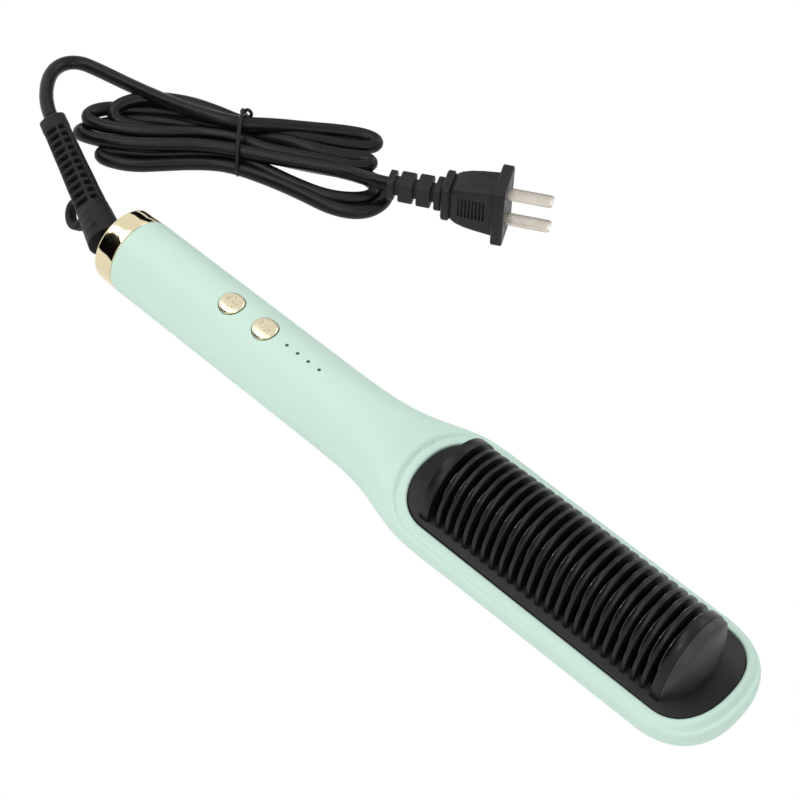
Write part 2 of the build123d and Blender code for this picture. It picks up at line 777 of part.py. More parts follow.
def cord_boot():
    """Rubber boot: dome at the ring, slotted square shaft and hanging eye."""
    dome = Solid.make_sphere(dome_radius, Plane(origin=at(0)))
    back = bar(at(-0.4), at(30), 40)
    dome = dome - back
    wires = []
    for distance, size, round_share in ((-9.0, 13.6, 0.45), (-4.0, 12.6, 0.4), (1.0, 11.0, 0.3), (6.0, 9.8, 0.2),
                                        (12.0, boot_size(12.0), 0.12), (boot_length, boot_end_size, 0.12)):
        profile = boot_plane(distance) * RectangleRounded(size, size, size * round_share)
        wires.append(profile.wire())
    shaft = Solid.make_loft(wires, ruled=True) - back
    boot = dome.fuse(shaft)
    slots = []
    for index in range(boot_slot_count):
        distance = boot_length - boot_first_slot - index * boot_slot_pitch
        size = boot_size(distance)
        plane = boot_plane(distance)
        for turn in (0, 90, 180, 270):
            place = plane * Rot(0, 0, turn) * Pos(size / 2, 0, 0)
            slots.append((place * Box(2 * boot_slot_depth, size * 0.62, boot_slot_width)).solid())
    boot = boot.cut(*slots)
    eye_centre = boot_origin + boot_axis * 9.5
    eye_plane = Plane(origin=eye_centre, x_dir=boot_axis, z_dir=boot_plane(0).x_dir)
    eye = Pos(-1.0, 7.0) * (Ellipse(eye_length / 2, eye_width / 2) - Ellipse(eye_hole_length / 2, eye_hole_width / 2))
    eye = extrude(eye_plane * eye, 1.5, both=True).solid()
    boot = boot.fuse(eye)
    return boot.fuse(bar(at(-3), at(spigot_end), spigot_radius)).solid()


lead_points = [boot_end, at(-82.5, 29.0, -0.4), at(-96.0, 40.8, -2.0), at(-99.8, 50.5, -3.2), at(-96.2, 58.0, -4.3),
               at(-86.0, 60.6, -5.2), at(-68.0, 62.9, -5.8), at(-50.0, 67.2, -5.6), at(-34.0, 71.6, -5.0)]
hank_start = at(-70.0, 38.5, 0)
hank_angle = 28.3
hank_length = 128.0
hank_stations = ((0.0, 7.0, 3.0), (5.0, 12.0, 5.2), (24.0, 14.6, 6.0), (48.0, 12.2, 6.2), (64.0, 10.6, 6.3),
                 (82.0, 13.0, 6.2), (104.0, 18.0, 6.0), (121.0, 15.5, 5.6), (128.0, 8.0, 3.4))
hank_rise = floor_z + 6.4
tie_distance = 64.0


def hank_frame(distance, side=0.0):
    """Point of the hank's middle plane."""
    turn = math.radians(hank_angle)
    return hank_start + Vector(math.cos(turn) * distance - math.sin(turn) * side,
                               math.sin(turn) * distance + math.cos(turn) * side, hank_rise)


def hank_plane(distance):
    """Plane across the hank."""
    turn = math.radians(hank_angle)
    return Plane(origin=hank_frame(distance), x_dir=(-math.sin(turn), math.cos(turn), 0),
                 z_dir=(math.cos(turn), math.sin(turn), 0))


def cord_hank():
    """Outer shape of the tied coil."""
    wires = []
    for distance, half_width, half_height in hank_stations:
        wires.append((hank_plane(distance) * Ellipse(half_width, half_height)).wire())
    hank = Solid.make_loft(wires, ruled=True)
    return hank.cut(tube(lead_points, cord_diameter, "cord in hank"), tube(tail_points, cord_diameter, "tail in hank"))


def cord_tie():
    """Wire tie round the waist of the coil."""
    plane = hank_plane(tie_distance)
    loop = RectangleRounded(23.2, 14.6, 6.6).wire()
    path = plane * loop
    start = path.edges()[0]
    profile = Plane(origin=start @ 0, z_dir=start % 0) * Circle(0.8)
    return sweep(profile, path=path).solid()


plug_angle = 28.9
plug_rise = floor_z + 13.4
sleeve_start = at(50.4, 92.7, plug_rise)


def plug_point(distance, side=0.0, lift=0.0):
    """Point along the plug from the start of its sleeve."""
    turn = math.radians(plug_angle)
    return sleeve_start + Vector(math.cos(turn) * distance - math.sin(turn) * side,
                                 math.sin(turn) * distance + math.cos(turn) * side, lift)


def plug_plane(distance):
    """Plane across the plug, its x sideways and its y up."""
    turn = math.radians(plug_angle)
    return Plane(origin=plug_point(distance), x_dir=(-math.sin(turn), math.cos(turn), 0),
                 z_dir=(math.cos(turn), math.sin(turn), 0))


tail_points = [at(26.0, 79.3, -6.6), at(34.0, 83.7, -5.0), at(42.0, 88.1, plug_rise - 0.4), plug_point(0.0)]


def slab(start, end, width, height, radius):
    """Straight length with a rounded rectangle section along the plug."""
    profile = plug_plane(start) * RectangleRounded(width, height, radius)
    return extrude(profile, end - start).solid()


collar_start = 22.6
body_start = 26.0
plate_start = 46.6
plate_end = 51.0
blade_length = 16.0


def plug_body():
    """Moulded plug: segmented sleeve, collar, tapered grip and face plate."""
    core = slab(0, collar_start + 1, 6.6, 7.2, 2.6)
    pieces = []
    for start, end, size in ((0.0, 2.8, 9.4), (4.6, 10.4, 9.8), (12.0, 17.6, 10.2), (19.2, 22.0, 10.6)):
        pieces.append(slab(start, end, size, size + 0.4, 2.0))
    pieces.append(slab(collar_start, collar_start + 3.2, 12.6, 16.2, 3.0))
    wires = []
    for distance, width, height in ((body_start - 0.6, 10.0, 13.0), (body_start + 2.4, 11.6, 16.6),
                                    (body_start + 10, 12.2, 20.0), (plate_start, 12.4, 22.6)):
        wires.append((plug_plane(distance) * RectangleRounded(width, height, 2.0)).wire())
    grip = Solid.make_loft(wires, ruled=True)
    for index in range(8):
        distance = body_start + 3.6 + index * 2.05
        for side in (-1, 1):
            plane = plug_plane(distance)
            groove = plane * Pos(side * 6.5, 0, 0) * Box(2.2, 10.4, 0.95)
            grip = grip - groove.solid()
    pieces.append(grip)
    pieces.append(slab(plate_start - 0.02, plate_end, 16.4, 26.8, 5.2))
    body = core.fuse(*pieces)
    for blade in plug_blades():
        body = body - blade
    return body


def plug_blades():
    """Two flat blades, one over the other."""
    blades = []
    for lift in (-6.35, 6.35):
        profile = plug_plane(plate_end - 3.0) * Pos(0, lift) * Rectangle(6.35, 1.5)
        blade = extrude(profile, blade_length + 3.0).solid()
        tip = [edge for edge in blade.edges() if edge.length < 1.6 and
               (edge.center() - plug_point(plate_end + blade_length)).length < 8]
        blades.append(blade.fillet(1.5, tip) if len(tip) == 2 else blade)
    return blades


def group(shapes):
    """Several solids as one node."""
    return Compound(shapes)


def main():
    """Writes every subcomponent."""
    save(main_shell(), "main_shell")
    save(back_cover(), "back_cover")
    save(end_ring(), "end_ring")
    save(end_cap(), "end_cap")
    save(swivel_hub(), "swivel_hub")
    save(group(contact_pins()), "contact_pins")
    save(contact_block(), "contact_block")
    save(group(contact_springs()), "contact_springs")
    save(comb_cover(), "comb_cover")
    save(heated_comb(), "heated_comb")
    save(ceramic_heater(), "ceramic_heater")
    save(mica_sheet(), "mica_sheet")
    save(heater_clamp(), "heater_clamp")
    for name, shapes in screw_groups().items():
        save(group(shapes), name)
    save(thermal_fuse(), "thermal_fuse")
    save(temperature_sensor(), "temperature_sensor")
    save(control_board(), "control_board")
    save(group(push_switches()), "push_switches")
    save(group(indicator_lights()), "indicator_lights")
    save(light_guide(), "light_guide")
    for name, shape in board_parts().items():
        save(shape, name)
    supply_routes, heater_routes, sensor_routes = inner_wires()
    save(group([tube(points, 1.8, "supply wire") for points in supply_routes]), "supply_wires")
    save(group([tube(points, 1.6, "heater wire") for points in heater_routes]), "heater_wires")
    save(group([tube(points, 0.9, "sensor wire") for points in sensor_routes]), "sensor_wires")
    save(button(button_x[0], power_symbol), "power_button")
    save(button(button_x[1], heat_symbol), "temperature_button")
    save(cord_boot(), "cord_boot")
    save(tube(lead_points, cord_diameter, "cord lead"), "cord_lead")
    save(cord_hank(), "cord_hank")
    save(cord_tie(), "cord_tie")
    save(tube(tail_points, cord_diameter, "cord tail"), "cord_tail")
    save(plug_body(), "plug_body")
    save(group(plug_blades()), "plug_blades")


if __name__ == "__main__":
    main()
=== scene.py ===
import bpy
import bmesh
import math
from mathutils import Matrix, Vector


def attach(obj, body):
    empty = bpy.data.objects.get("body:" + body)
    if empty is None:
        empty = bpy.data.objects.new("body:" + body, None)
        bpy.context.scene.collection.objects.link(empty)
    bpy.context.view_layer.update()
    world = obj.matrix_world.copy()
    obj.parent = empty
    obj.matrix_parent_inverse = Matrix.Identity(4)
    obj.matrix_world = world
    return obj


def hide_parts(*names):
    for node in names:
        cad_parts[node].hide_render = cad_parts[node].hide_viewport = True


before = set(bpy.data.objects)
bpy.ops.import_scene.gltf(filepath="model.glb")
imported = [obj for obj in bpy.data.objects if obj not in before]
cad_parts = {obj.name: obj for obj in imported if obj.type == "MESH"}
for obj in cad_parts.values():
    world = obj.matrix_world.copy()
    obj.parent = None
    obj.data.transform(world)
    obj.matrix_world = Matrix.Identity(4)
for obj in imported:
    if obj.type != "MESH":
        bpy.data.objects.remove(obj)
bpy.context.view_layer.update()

MM = 0.001

# ---------------------------------------------------------------- sizes in millimetres
# distance runs from the cord end to the tip, side goes across, and rise is the height over the body's axis
BODY_LENGTH = 290.0
TIP_END = 291.2
AXIS_HEIGHT = 16.0
HANDLE_HALF_WIDTH = 15.2
HANDLE_TOP = 16.0
UNDERSIDE = -16.3
NECK_START = 112.0
NECK_LENGTH = 46.0
HEAD_HALF_WIDTH = 24.1
NECK_HALF_WIDTH = 24.6
HEAD_TOP = 11.2
HEAD_WIDEST = 4.4
PARTING_RISE = -9.0
SHELL_WALL = 2.0
# powers of the section's curve, where 2 is an ellipse and more is squarer
HANDLE_POWER = 2.0
HEAD_POWER_GAIN = 0.3
LOWER_POWER = 2.2
TIP_LENGTH = 25.6
TIP_START = TIP_END - TIP_LENGTH
TIP_PLAN_POWER = 2.39
TIP_TOP_POWER = 5.0
TIP_BOTTOM_POWER = 2.0
# share of the neck's length, share of the widening, share of the drop of the top
NECK_TABLE = ((0.0, 0.0, 0.0), (0.13, 0.008, 0.02), (0.35, 0.043, 0.10), (0.53, 0.149, 0.25),
              (0.70, 0.33, 0.46), (0.85, 0.57, 0.67), (1.0, 0.80, 0.86), (1.14, 0.945, 0.94),
              (1.33, 1.0, 0.98), (1.7, 0.99, 1.0))
NARROWING_START = 1.33

# rows and columns of the shells' surface, and how far along the tip its last row but one lies
HANDLE_ROWS = 43
HANDLE_ROW_STEP = 2.4
HEAD_ROW_STEP = 0.8
TIP_ROWS = 60
LAST_ROW_SHARE = 0.99995
UPPER_COLUMNS = 150
LOWER_COLUMNS = 110
# the shells draw in to this share at the parting line, and the lower one stays this far below it
PARTING_LIP = 0.985
PARTING_GAP = 0.05
# there is no parting line at the tip, where the turn at which it would lie is below this
LAST_PARTING_TURN = -1.5
# outsets from the panel matter only past this distance
HEAD_FROM = NECK_START + 20
FAR_OUTSIDE = 99.0
SHOULDER_REACH = 14.0
SHOULDER_FADE = (0.3, 3.5)
# the upper shell is open under the panel, as far as this outside the panel's outline
SHELL_OPENING = 2.1

RING_LENGTH = 9.0
RING_SEAM = 0.3
RING_BORE = 12.1
RING_STEPS = 160
# distance and inset of the ring's outer skin, then distance and radius of its lip and bore
RING_SKIN = ((9.0, 1.0), (9.0, 0.22), (8.93, 0.07), (8.78, 0.0), (6.0, 0.0), (3.0, 0.0), (0.75, 0.0),
             (0.5, 0.04), (0.28, 0.15), (0.1, 0.34), (0.0, 0.6), (0.0, 1.4))
RING_LIP = ((0.0, RING_BORE + 0.3), (0.15, RING_BORE), (1.2, RING_BORE), (1.2, 13.9))

PANEL_START = 157.4
PANEL_END = 285.4
PANEL_HALF_WIDTH = 19.4
PANEL_START_ROUND = 15.5
PANEL_END_ROUND = 15.8
PANEL_POWER = 2.25
PANEL_RISE = 11.8
PANEL_THICKNESS = 2.0
CROWN_RADIUS = 52.0
# where the panel's straight sides begin and end
SIDES_START = PANEL_START + PANEL_START_ROUND
SIDES_END = PANEL_END - PANEL_END_ROUND
# side steps of the cuts that let the flat panel follow its crown
PANEL_CUTS = (-19, -17.65, *range(-18, 18), 17.65, 18, 19)
# outset and drop of the panel's soft edge
PANEL_EDGE = ((-0.6, 1.9), (0.0, 1.9), (0.0, 0.45), (-0.05, 0.25), (-0.16, 0.1), (-0.32, 0.02), (-0.6, 0.0))

BEAD_RISE = 12.3
BEAD_FADE = (3.4, 1.6)
BEAD_EDGE = 0.95
BEAD_EDGE_WIDTH = 0.7
BEAD_EDGE_DROP = 0.5
# outset and rise of the bead's foot, then the outsets of its skin and their drops under the finished surface
BEAD_FOOT = 0.25
BEAD_FOOT_RISE = PANEL_RISE - PANEL_THICKNESS - 0.6
BEAD_SKIN = ((0.25, 0.0), (0.33, 0.0), (0.5, 0.0), (0.75, 0.0), (1.05, 0.0), (1.4, 0.0), (1.8, 0.0),
             (2.2, 0.0), (2.55, 0.0), (2.85, 0.0), (3.1, 0.25), (3.1, 1.0))
BEAD_PROUD = 0.012
GROOVE_PLACE = 3.5
GROOVE_WIDTH = 0.8
GROOVE_DEPTH = 0.75
RIDGE_PLACE = 5.6
RIDGE_WIDTH = 1.3
RIDGE_HEIGHT = 0.36

RIB_COUNT = 23
RIB_PITCH = 3.93
RIB_THICKNESS = 1.6
RIB_HALF_WIDTH = 16.6
FIRST_RIB = 177.0
RIB_FOOT = 9.2
FOOT_DEPTH = -2.4
CREST_LOW = 29.6
CREST_HIGH = 32.3
CREST_REACH = 0.55
END_PLATE_START = 169.4
END_PLATE_THICKNESS = 4.0
END_PLATE_HALF_WIDTH = 17.4
END_BLOCK_START = 266.8
END_BLOCK_HALF_WIDTH = RIB_HALF_WIDTH + 0.3
STRIP_THICKNESS = 3.5
DOME_FACE = END_BLOCK_START + 2.5
DOME_HALF_WIDTH = 17.2
# rise over the ribs' foot and how far the dome bulges there
DOME_BULGES = ((-5.2, 8.3), (6.8, 7.2), (17.8, 5.0), (26.8, 1.4))
# the dome lies this far inside the end block; its base is softened from a share of the outline outwards
DOME_INSET = 0.5
DOME_SOFT = 0.5
DOME_SOFT_SHARE = 0.96
DOME_SOFT_REACH = 0.04
# shares of the outline at which the dome has a ring
DOME_SHARES = (1.0, 0.985, 0.96, 0.92, 0.86, 0.78, 0.68, 0.56, 0.42, 0.26, 0.1)

SLOT_WIDTH = 1.9
SLOT_HALF_LENGTH = 13.6
FIN_THICKNESS = 0.9
FIN_BASE = 6.1
FIN_BELOW_CREST = 4.2
FIN_HALF_WIDTH = 12.4
# distance inwards from the fin's face and how far its edge draws in there
FIN_EDGE = ((0.0, 0.22), (0.1, 0.06), (0.26, 0.0))
# turn in degrees up from the foot, and how far the fin's edge lies inside the rib's there
BELL_GAPS = ((90, FIN_BELOW_CREST), (78, 3.6), (66, 2.7), (55, 2.2), (44, 2.3), (34, 2.8), (24, 3.5),
             (12, 4.1), (0, 4.2))
BASE_PLATE_MIDDLE = 219.6
BASE_PLATE_LENGTH = 98.4
BASE_PLATE_WIDTH = 33.6
# rise and inset of the base plate's edge
BASE_PLATE_EDGE = ((4.0, 0.4), (4.2, 0.0), (6.4, 0.0), (6.6, 0.4))

BUTTON_PLACES = (61.3, 78.5)
BUTTON_RADIUS = 4.85
BUTTON_HOLE = 5.15
BUTTON_PROUD = 0.85
BUTTON_STEPS = 72
BUTTON_TOP_RADII = (0.05, 1.0, 2.0, 3.0, 3.8, 4.25, 4.5, 4.68, 4.8, BUTTON_RADIUS)
BUTTON_RIM = 4.25
BUTTON_RIM_WIDTH = 0.6
BUTTON_RIM_DROP = 0.38
# radius and rise of the button's wall, flange and stem
BUTTON_STEM = ((BUTTON_RADIUS, 11.7), (6.3, 11.7), (6.3, 10.9), (1.5, 10.9), (1.5, 9.0))
MARK_FLOOR = 16.55
MARK_TOP = 19.0
MARK_CROWN = 33
LIGHT_PLACES = (89.6, 95.0, 100.3, 105.7)
LIGHT_HOLE = 0.7
HOLE_REACH = (5, 30)

# distance, side and seat's rise of the case screws
CASE_SCREWS = ((30.0, 0.0, -12.2), (146.0, 0.0, -12.2), (200.0, 15.5, -9.0), (200.0, -15.5, -9.0),
               (258.0, 15.5, -9.0), (258.0, -15.5, -9.0))
SEAT_RADIUS = 3.0
SEAT_HOLE_REACH = (-20, -13)
SEAT_MOUTH_GAP = 0.25
SEAT_DEEPEST_MOUTH = 1.1
# radius and rise over the seat of its wall and floor; None follows the underside
SEAT_PROFILE = ((SEAT_RADIUS, None), (SEAT_RADIUS, 0.0), (1.45, 0.0), (1.45, 1.2), (4.0, 1.2), (4.0, None),
                (SEAT_RADIUS, None))
SCREW_STEPS = 40
# radius and rise over the seat of the screw's head and shank
SCREW_PROFILE = ((0.05, -1.25), (1.4, -1.2), (2.2, -0.95), (2.5, -0.5), (2.5, 0.0), (1.2, 0.0), (1.2, 9.0),
                 (0.6, 10.5), (0.05, 10.8))
CROSS_HALF_LENGTH = 1.3
CROSS_HALF_WIDTH = 0.27
CROSS_REACH = (-1.6, -0.55)
CROSS_TURN = 0.6

CORD_DIAMETER = 5.9
BOOT_BEND = Vector((-159.6, 0.0, 16.0))
BOOT_AXIS = Vector((-0.9198, 0.3923, 0.0))
BOOT_FACING = 73.8
BOOT_FOOT = 9.0
BOOT_LENGTH = 64.2
BOOT_ROWS = 280
BOOT_COLUMNS = 120
# the shaft's section goes from round to squarish, with its soft corners turned a little
BOOT_CORNER_TURN = 14.0
BOOT_SQUARENESS = 0.9
COLLAR_START = 58.0
COLLAR_SLANT = 0.55
# distance along the boot's axis and half width there
BOOT_WIDTHS = ((-9.0, 7.4), (-4.0, 7.2), (0.0, 6.9), (4.0, 6.4), (8.0, 5.9), (12.0, 5.6), (20.0, 5.4),
               (40.0, 5.1), (56.0, 4.9), (57.2, 5.05), (63.4, 5.0), (64.0, 4.8), (64.2, 4.5))
BOOT_SLOTS = 11
BOOT_SLOT_START = 55.3
BOOT_SLOT_PITCH = 4.2
BOOT_SLOT_TILT = 0.50
BOOT_SLOT_DEPTH = 2.4
BOOT_SLOT_EDGE = (1.35, 1.1)
# middle and half spread in degrees of the four columns of slots
SLOT_COLUMNS = ((27.0, 36.0), (-40.0, 21.0), (207.0, 36.0), (140.0, 21.0))
# the domed foot's radius, its height as a share of that and its least height
DOME_FOOT_RADIUS = 11.4
DOME_FOOT_SHARE = 0.55
DOME_FOOT_LEAST = 0.35
DOME_FOOT_ROWS = 24
DOME_FOOT_STEPS = 64
# place of the small bump on the foot: along the boot's axis, facing and sideways
BUMP_PLACE = (-3.5, 7.0, 1.0)
BUMP_RADIUS = 1.1
SKIN_VOXEL = 0.3
SKIN_SOFTENING = 2
# direction from the boot's axis to its hanging eye, how far it lies along the axis and out, and its sizes
EYE_SIDE = Vector((-0.2522, -0.5912, -0.7660))
EYE_ALONG = 15.2
EYE_OUT = 8.4
EYE_OUTER = (13.8, 11.4)
EYE_INNER = (8.4, 5.2)
# share from the eye's outer edge to its hole, and half the thickness there
EYE_PROFILE = ((0.0, 1.7), (0.19, 2.1), (0.49, 2.3), (0.81, 2.1), (1.0, 1.7))
EYE_STEPS = 64

HANK_START = Vector((-215.0, 38.5, 0.0))
HANK_TURN = math.radians(28.3)
TIE_DISTANCE = 63.0
TIE_HALF_WIDTH = 3.0
LEAD_POINTS = ((-218.65, 25.19, 16.0), (-227.2, 28.9, 15.6), (-240.2, 40.6, 14.0), (-243.8, 49.9, 12.8),
               (-240.3, 57.0, 11.7), (-230.6, 60.0, 10.8))
# the lead where it lies on the hank: along it, side step and height
LEAD_ON_HANK = ((15.0, 20.4, 10.4), (40.0, 11.8, 12.5))
TIE_TOP = (8.9, 12.9)
# each loop: how far its end lies along the hank, then side steps and heights at the stations, then the tie's
# side step and height where it comes back
LOOP_STATIONS = (0.20, 0.45, 0.70, 0.90, 1.0, 0.94, 0.70, 0.45, 0.20)
LOOPS = (
    (119.0, (14.8, 19.8, 24.2, 25.3, 22.5, 18.6, 17.0, 15.7, 14.7),
     (10.0, 6.5, 4.0, 3.0, 3.0, 3.0, 3.6, 4.8, 6.6), (14.5, 8.0)),
    (8.0, (18.3, 20.3, 19.0, 14.8, 9.0, 5.4, 6.0, 6.8, 6.8),
     (8.0, 8.0, 8.2, 8.2, 6.8, 4.5, 3.0, 3.0, 3.0), (6.6, 3.0)),
    (126.0, (3.8, 3.0, 3.4, 2.6, -3.0, -9.5, -12.0, -8.8, -4.6),
     (3.0, 3.0, 3.0, 3.0, 3.0, 3.0, 3.0, 3.0, 4.0), (0.8, 3.0)),
    (10.0, (-1.5, -5.5, -8.5, -9.6, -12.0, -14.8, -15.4, -11.3, -7.2),
     (3.0, 3.0, 3.0, 3.0, 3.0, 3.0, 3.0, 3.0, 3.0), (-5.0, 3.0)),
    (131.0, (-7.7, -12.0, -17.7, -16.5, -7.0, 0.8, 5.0, 6.0, 15.0),
     (3.0, 3.0, 3.0, 3.0, 3.0, 3.0, 3.0, 3.0, 3.0), (18.2, 3.0)),
    (-1.0, (18.2, 18.0, 15.4, 10.8, 4.0, -1.6, -1.9, 0.9, 5.6),
     (3.0, 3.0, 3.2, 6.0, 7.6, 8.0, 8.0, 7.8, 7.8), (6.3, 8.2)),
    (121.0, (2.4, 2.7, 3.2, 3.6, 6.7, 9.0, 7.1, 7.6, 11.5),
     (8.0, 7.8, 7.3, 6.6, 6.8, 7.0, 7.5, 8.7, 6.0), (12.4, 3.0)),
    (-3.0, (12.4, 12.4, 9.0, 2.6, -2.6, -6.6, -9.5, -7.2, -2.7),
     (3.0, 3.0, 3.0, 3.0, 3.4, 5.4, 7.8, 8.5, 8.5), (-1.0, 8.4)))
TAIL_ON_HANK = ((84.0, -1.2, 8.0), (101.0, -0.8, 8.0), (113.0, -2.2, 8.8), (121.5, -5.8, 11.6),
                (127.0, -8.4, 13.8))

BELT_DIAMETER = 1.7
LOOP_DIAMETER = 1.4
# step of the tie's middle along the hank, slant as a step per side step, and side step of the middle
TIE_SLANT = (2.4, 0.17, 6.6)
# the small loop on top: side steps and heights of its ends, then its middle past the tie, aside and up
LOOP_ENDS = (((9.5, 16.6), (12.0, 15.6)), ((16.0, 12.6), (18.0, 10.4)))
LOOP_MIDDLE = (2.6, 14.2, 14.6)
LOOP_RADIUS = 2.2
LOOP_TURNS = range(-150, 210, 36)
# side step and height of the wire's corners round the strands
TIE_BELT = ((-8.6, 3.0), (-7.4, 0.9), (-4.0, 0.9), (6.0, 0.9), (17.5, 0.9), (20.8, 1.2), (22.0, 3.4),
            (20.8, 6.2), (17.3, 10.8), (11.4, 15.8), (8.2, 17.0), (4.0, 15.8), (-2.6, 12.0), (-4.6, 10.4),
            (-8.2, 5.3))

PLUG_START = Vector((-94.2, 92.9, 14.6))
PLUG_TURN = math.radians(28.6)
PLUG_ROLL = math.radians(6.0)
PLUG_FACE = 48.0
# start, end and width of the sleeve's cuffs
CUFFS = ((0.0, 2.8, 9.4), (4.6, 10.4, 9.8), (12.0, 17.6, 10.2), (19.2, 22.0, 10.6))
# distance, width, height and corner radius along the plug
SLEEVE_CORE = ((0.6, 6.6, 7.2, 2.4), (24.0, 6.6, 7.2, 2.4))
COLLAR = ((22.4, 12.6, 16.0, 2.4), (22.9, 13.8, 17.2, 2.8), (25.2, 13.8, 17.2, 2.8),
          (25.7, 12.8, 16.2, 2.4))
GRIP = ((25.0, 11.0, 13.6, 1.8), (26.6, 12.2, 15.8, 1.8), (28.4, 13.2, 17.6, 1.8), (32.0, 13.8, 19.6, 1.8),
        (36.0, 14.0, 21.0, 1.8), (44.4, 14.2, 23.0, 1.8))
GRIP_RIDGE = ((27.0, 2.2, 16.7, 0.8), (36.0, 2.2, 21.5, 0.8), (44.0, 2.2, 23.5, 0.8))
FACE_PLATE = ((PLUG_FACE - 4.6, 18.2, 26.6, 1.8), (PLUG_FACE - 4.2, 19.2, 27.6, 2.2),
              (PLUG_FACE - 0.5, 19.2, 27.6, 2.2), (PLUG_FACE, 18.2, 26.6, 1.8))
GRIP_GROOVES = 8
GRIP_GROOVE_START = 29.6
GRIP_GROOVE_PITCH = 1.42
GRIP_GROOVE_SIZE = (0.75, 9.4, 0.3)
GRIP_GROOVE_REACH = (5.8, 8.2)
GRIP_GROOVE_LIFT = 0.8
BLADE_LIFT = 6.35
# distance, width and thickness along a blade
BLADE_ROWS = ((PLUG_FACE - 0.6, 6.35, 1.5), (63.8, 6.35, 1.5), (64.6, 6.0, 1.4), (65.4, 5.0, 1.2))

# signs of a rectangle's four corners
CORNERS = ((-1, -1), (1, -1), (1, 1), (-1, 1))


def at(distance, side=0.0, rise=0.0):
    """Point of the object's frame, in millimetres."""
    return Vector((distance - BODY_LENGTH / 2, side, rise + AXIS_HEIGHT))


# ---------------------------------------------------------------- shader and node helpers
class Wire:
    """One socket of a node tree; arithmetic on it adds Math nodes."""

    def __init__(self, tree, socket=None):
        self.tree = tree
        self.socket = socket

    def node(self, kind, settings=None, inputs=None, output=0):
        """Adds a node, makes its settings, feeds its sockets and returns one of its outputs."""
        made = self.tree.nodes.new(kind)
        for name, value in (settings or {}).items():
            setattr(made, name, value)
        for name, value in (inputs or {}).items():
            if isinstance(value, Wire):
                self.tree.links.new(value.socket, made.inputs[name])
            else:
                made.inputs[name].default_value = value
        return Wire(self.tree, made.outputs[output])

    def maths(self, operation, first, second):
        return self.node("ShaderNodeMath", {"operation": operation}, {0: first, 1: second})

    def __add__(self, other):
        return self.maths("ADD", self, other)

    def __radd__(self, other):
        return self.maths("ADD", other, self)

    def __sub__(self, other):
        return self.maths("SUBTRACT", self, other)

    def __rsub__(self, other):
        return self.maths("SUBTRACT", other, self)

    def __mul__(self, other):
        return self.maths("MULTIPLY", self, other)

    def __rmul__(self, other):
        return self.maths("MULTIPLY", other, self)

    def __truediv__(self, other):
        return self.maths("DIVIDE", self, other)

    def __pow__(self, other):
        return self.maths("POWER", self, other)


def linear(red, green, blue):
    """Scene colour from screen values of 0 to 255."""
    channels = []
    for value in (red, green, blue):
        value = value / 255
        channels.append(value / 12.92 if value <= 0.04045 else ((value + 0.055) / 1.055) ** 2.4)
    return (*channels, 1.0)


def noise(start, size, detail, stretch=(1.0, 1.0, 1.0)):
    """Soft noise whose marks are about the given size in millimetres."""
    place = start.node("ShaderNodeTexCoord", output="Object")
    place = start.node("ShaderNodeMapping", inputs={"Vector": place, "Scale": stretch})
    inputs = {"Vector": place, "Scale": 1 / (size * MM), "Detail": detail}
    return start.node("ShaderNodeTexNoise", inputs=inputs, output="Fac")


def between(start, value, low, high):
    """Smooth step of a value from 0 to 1 between two limits."""
    inputs = {"Value": value, "From Min": low, "From Max": high}
    return start.node("ShaderNodeMapRange", {"interpolation_type": "SMOOTHSTEP"}, inputs)


def new_material(name):
    """Material with its shader."""
    material = bpy.data.materials.new(name)
    material.use_nodes = True
    return material, material.node_tree.nodes["Principled BSDF"]


def plain_grey(name, grey, socket, value):
    """Material of one even grey, with one more input of its shader set."""
    material, shader = new_material(name)
    shader.inputs["Base Color"].default_value = linear(grey, grey, grey)
    shader.inputs[socket].default_value = value
    return material


def finish(name, colour, second, roughness, grain=0.4, depth=0.02, mottle=12.0, wear=0.06, metallic=0.0,
           coat=0.0, stretch=(1.0, 1.0, 1.0), sheen=0.0, specular=0.5):
    """Moulded or plated finish: soft colour change, uneven gloss and a fine surface grain, in millimetres."""
    material, shader = new_material(name)
    tree = material.node_tree
    start = Wire(tree)
    cloud = between(start, noise(start, mottle, 3.0), 0.3, 0.7)
    fine = noise(start, grain, 3.0, stretch)
    colours = start.node("ShaderNodeMix", {"data_type": "RGBA"},
                         {0: cloud, 6: linear(*colour), 7: linear(*second)}, output=2)
    gloss = roughness + (cloud - 0.5) * wear + (fine - 0.5) * wear
    bump = start.node("ShaderNodeBump", inputs={"Height": fine, "Strength": 0.35, "Distance": depth * MM})
    for socket, value in (("Base Color", colours), ("Roughness", gloss), ("Normal", bump)):
        tree.links.new(value.socket, shader.inputs[socket])
    for socket, value in (("Metallic", metallic), ("Coat Weight", coat), ("Coat Roughness", 0.12),
                          ("Sheen Weight", sheen), ("Specular IOR Level", specular)):
        shader.inputs[socket].default_value = value
    return material


MINT = finish("mint_soft_touch", (203, 232, 217), (206, 234, 220), 0.52, grain=0.25, depth=0.012,
              mottle=30.0, wear=0.05, sheen=0.06)
GOLD = finish("pale_gold_plate", (231, 219, 184), (226, 213, 177), 0.08, grain=0.5, depth=0.004, mottle=8.0,
              wear=0.05, metallic=1.0, stretch=(6.0, 1.0, 1.0))
GOLD_BUTTON = finish("pale_gold_button", (222, 213, 186), (216, 206, 176), 0.24, grain=0.35, depth=0.006,
                     mottle=3.0, wear=0.08, metallic=1.0, stretch=(1.0, 5.0, 1.0))
GUARD = finish("black_heat_resin", (20, 20, 21), (25, 24, 26), 0.36, grain=0.3, depth=0.015, mottle=6.0,
               wear=0.10, specular=0.22)
# the dome is the same black resin as the guard; its lighter, bluish colour is painted light, standing in for
# how the dome catches the light
DOME_PAINTED_LIGHTER = finish("black_heat_resin_dome_painted_lighter", (27, 28, 31), (33, 34, 37), 0.5, grain=0.3, depth=0.015, mottle=6.0,
              wear=0.1)
FIN = finish("black_ceramic_coat", (10, 10, 11), (15, 15, 16), 0.10, grain=0.5, depth=0.01, mottle=4.0,
             wear=0.10, coat=0.6, specular=0.2)
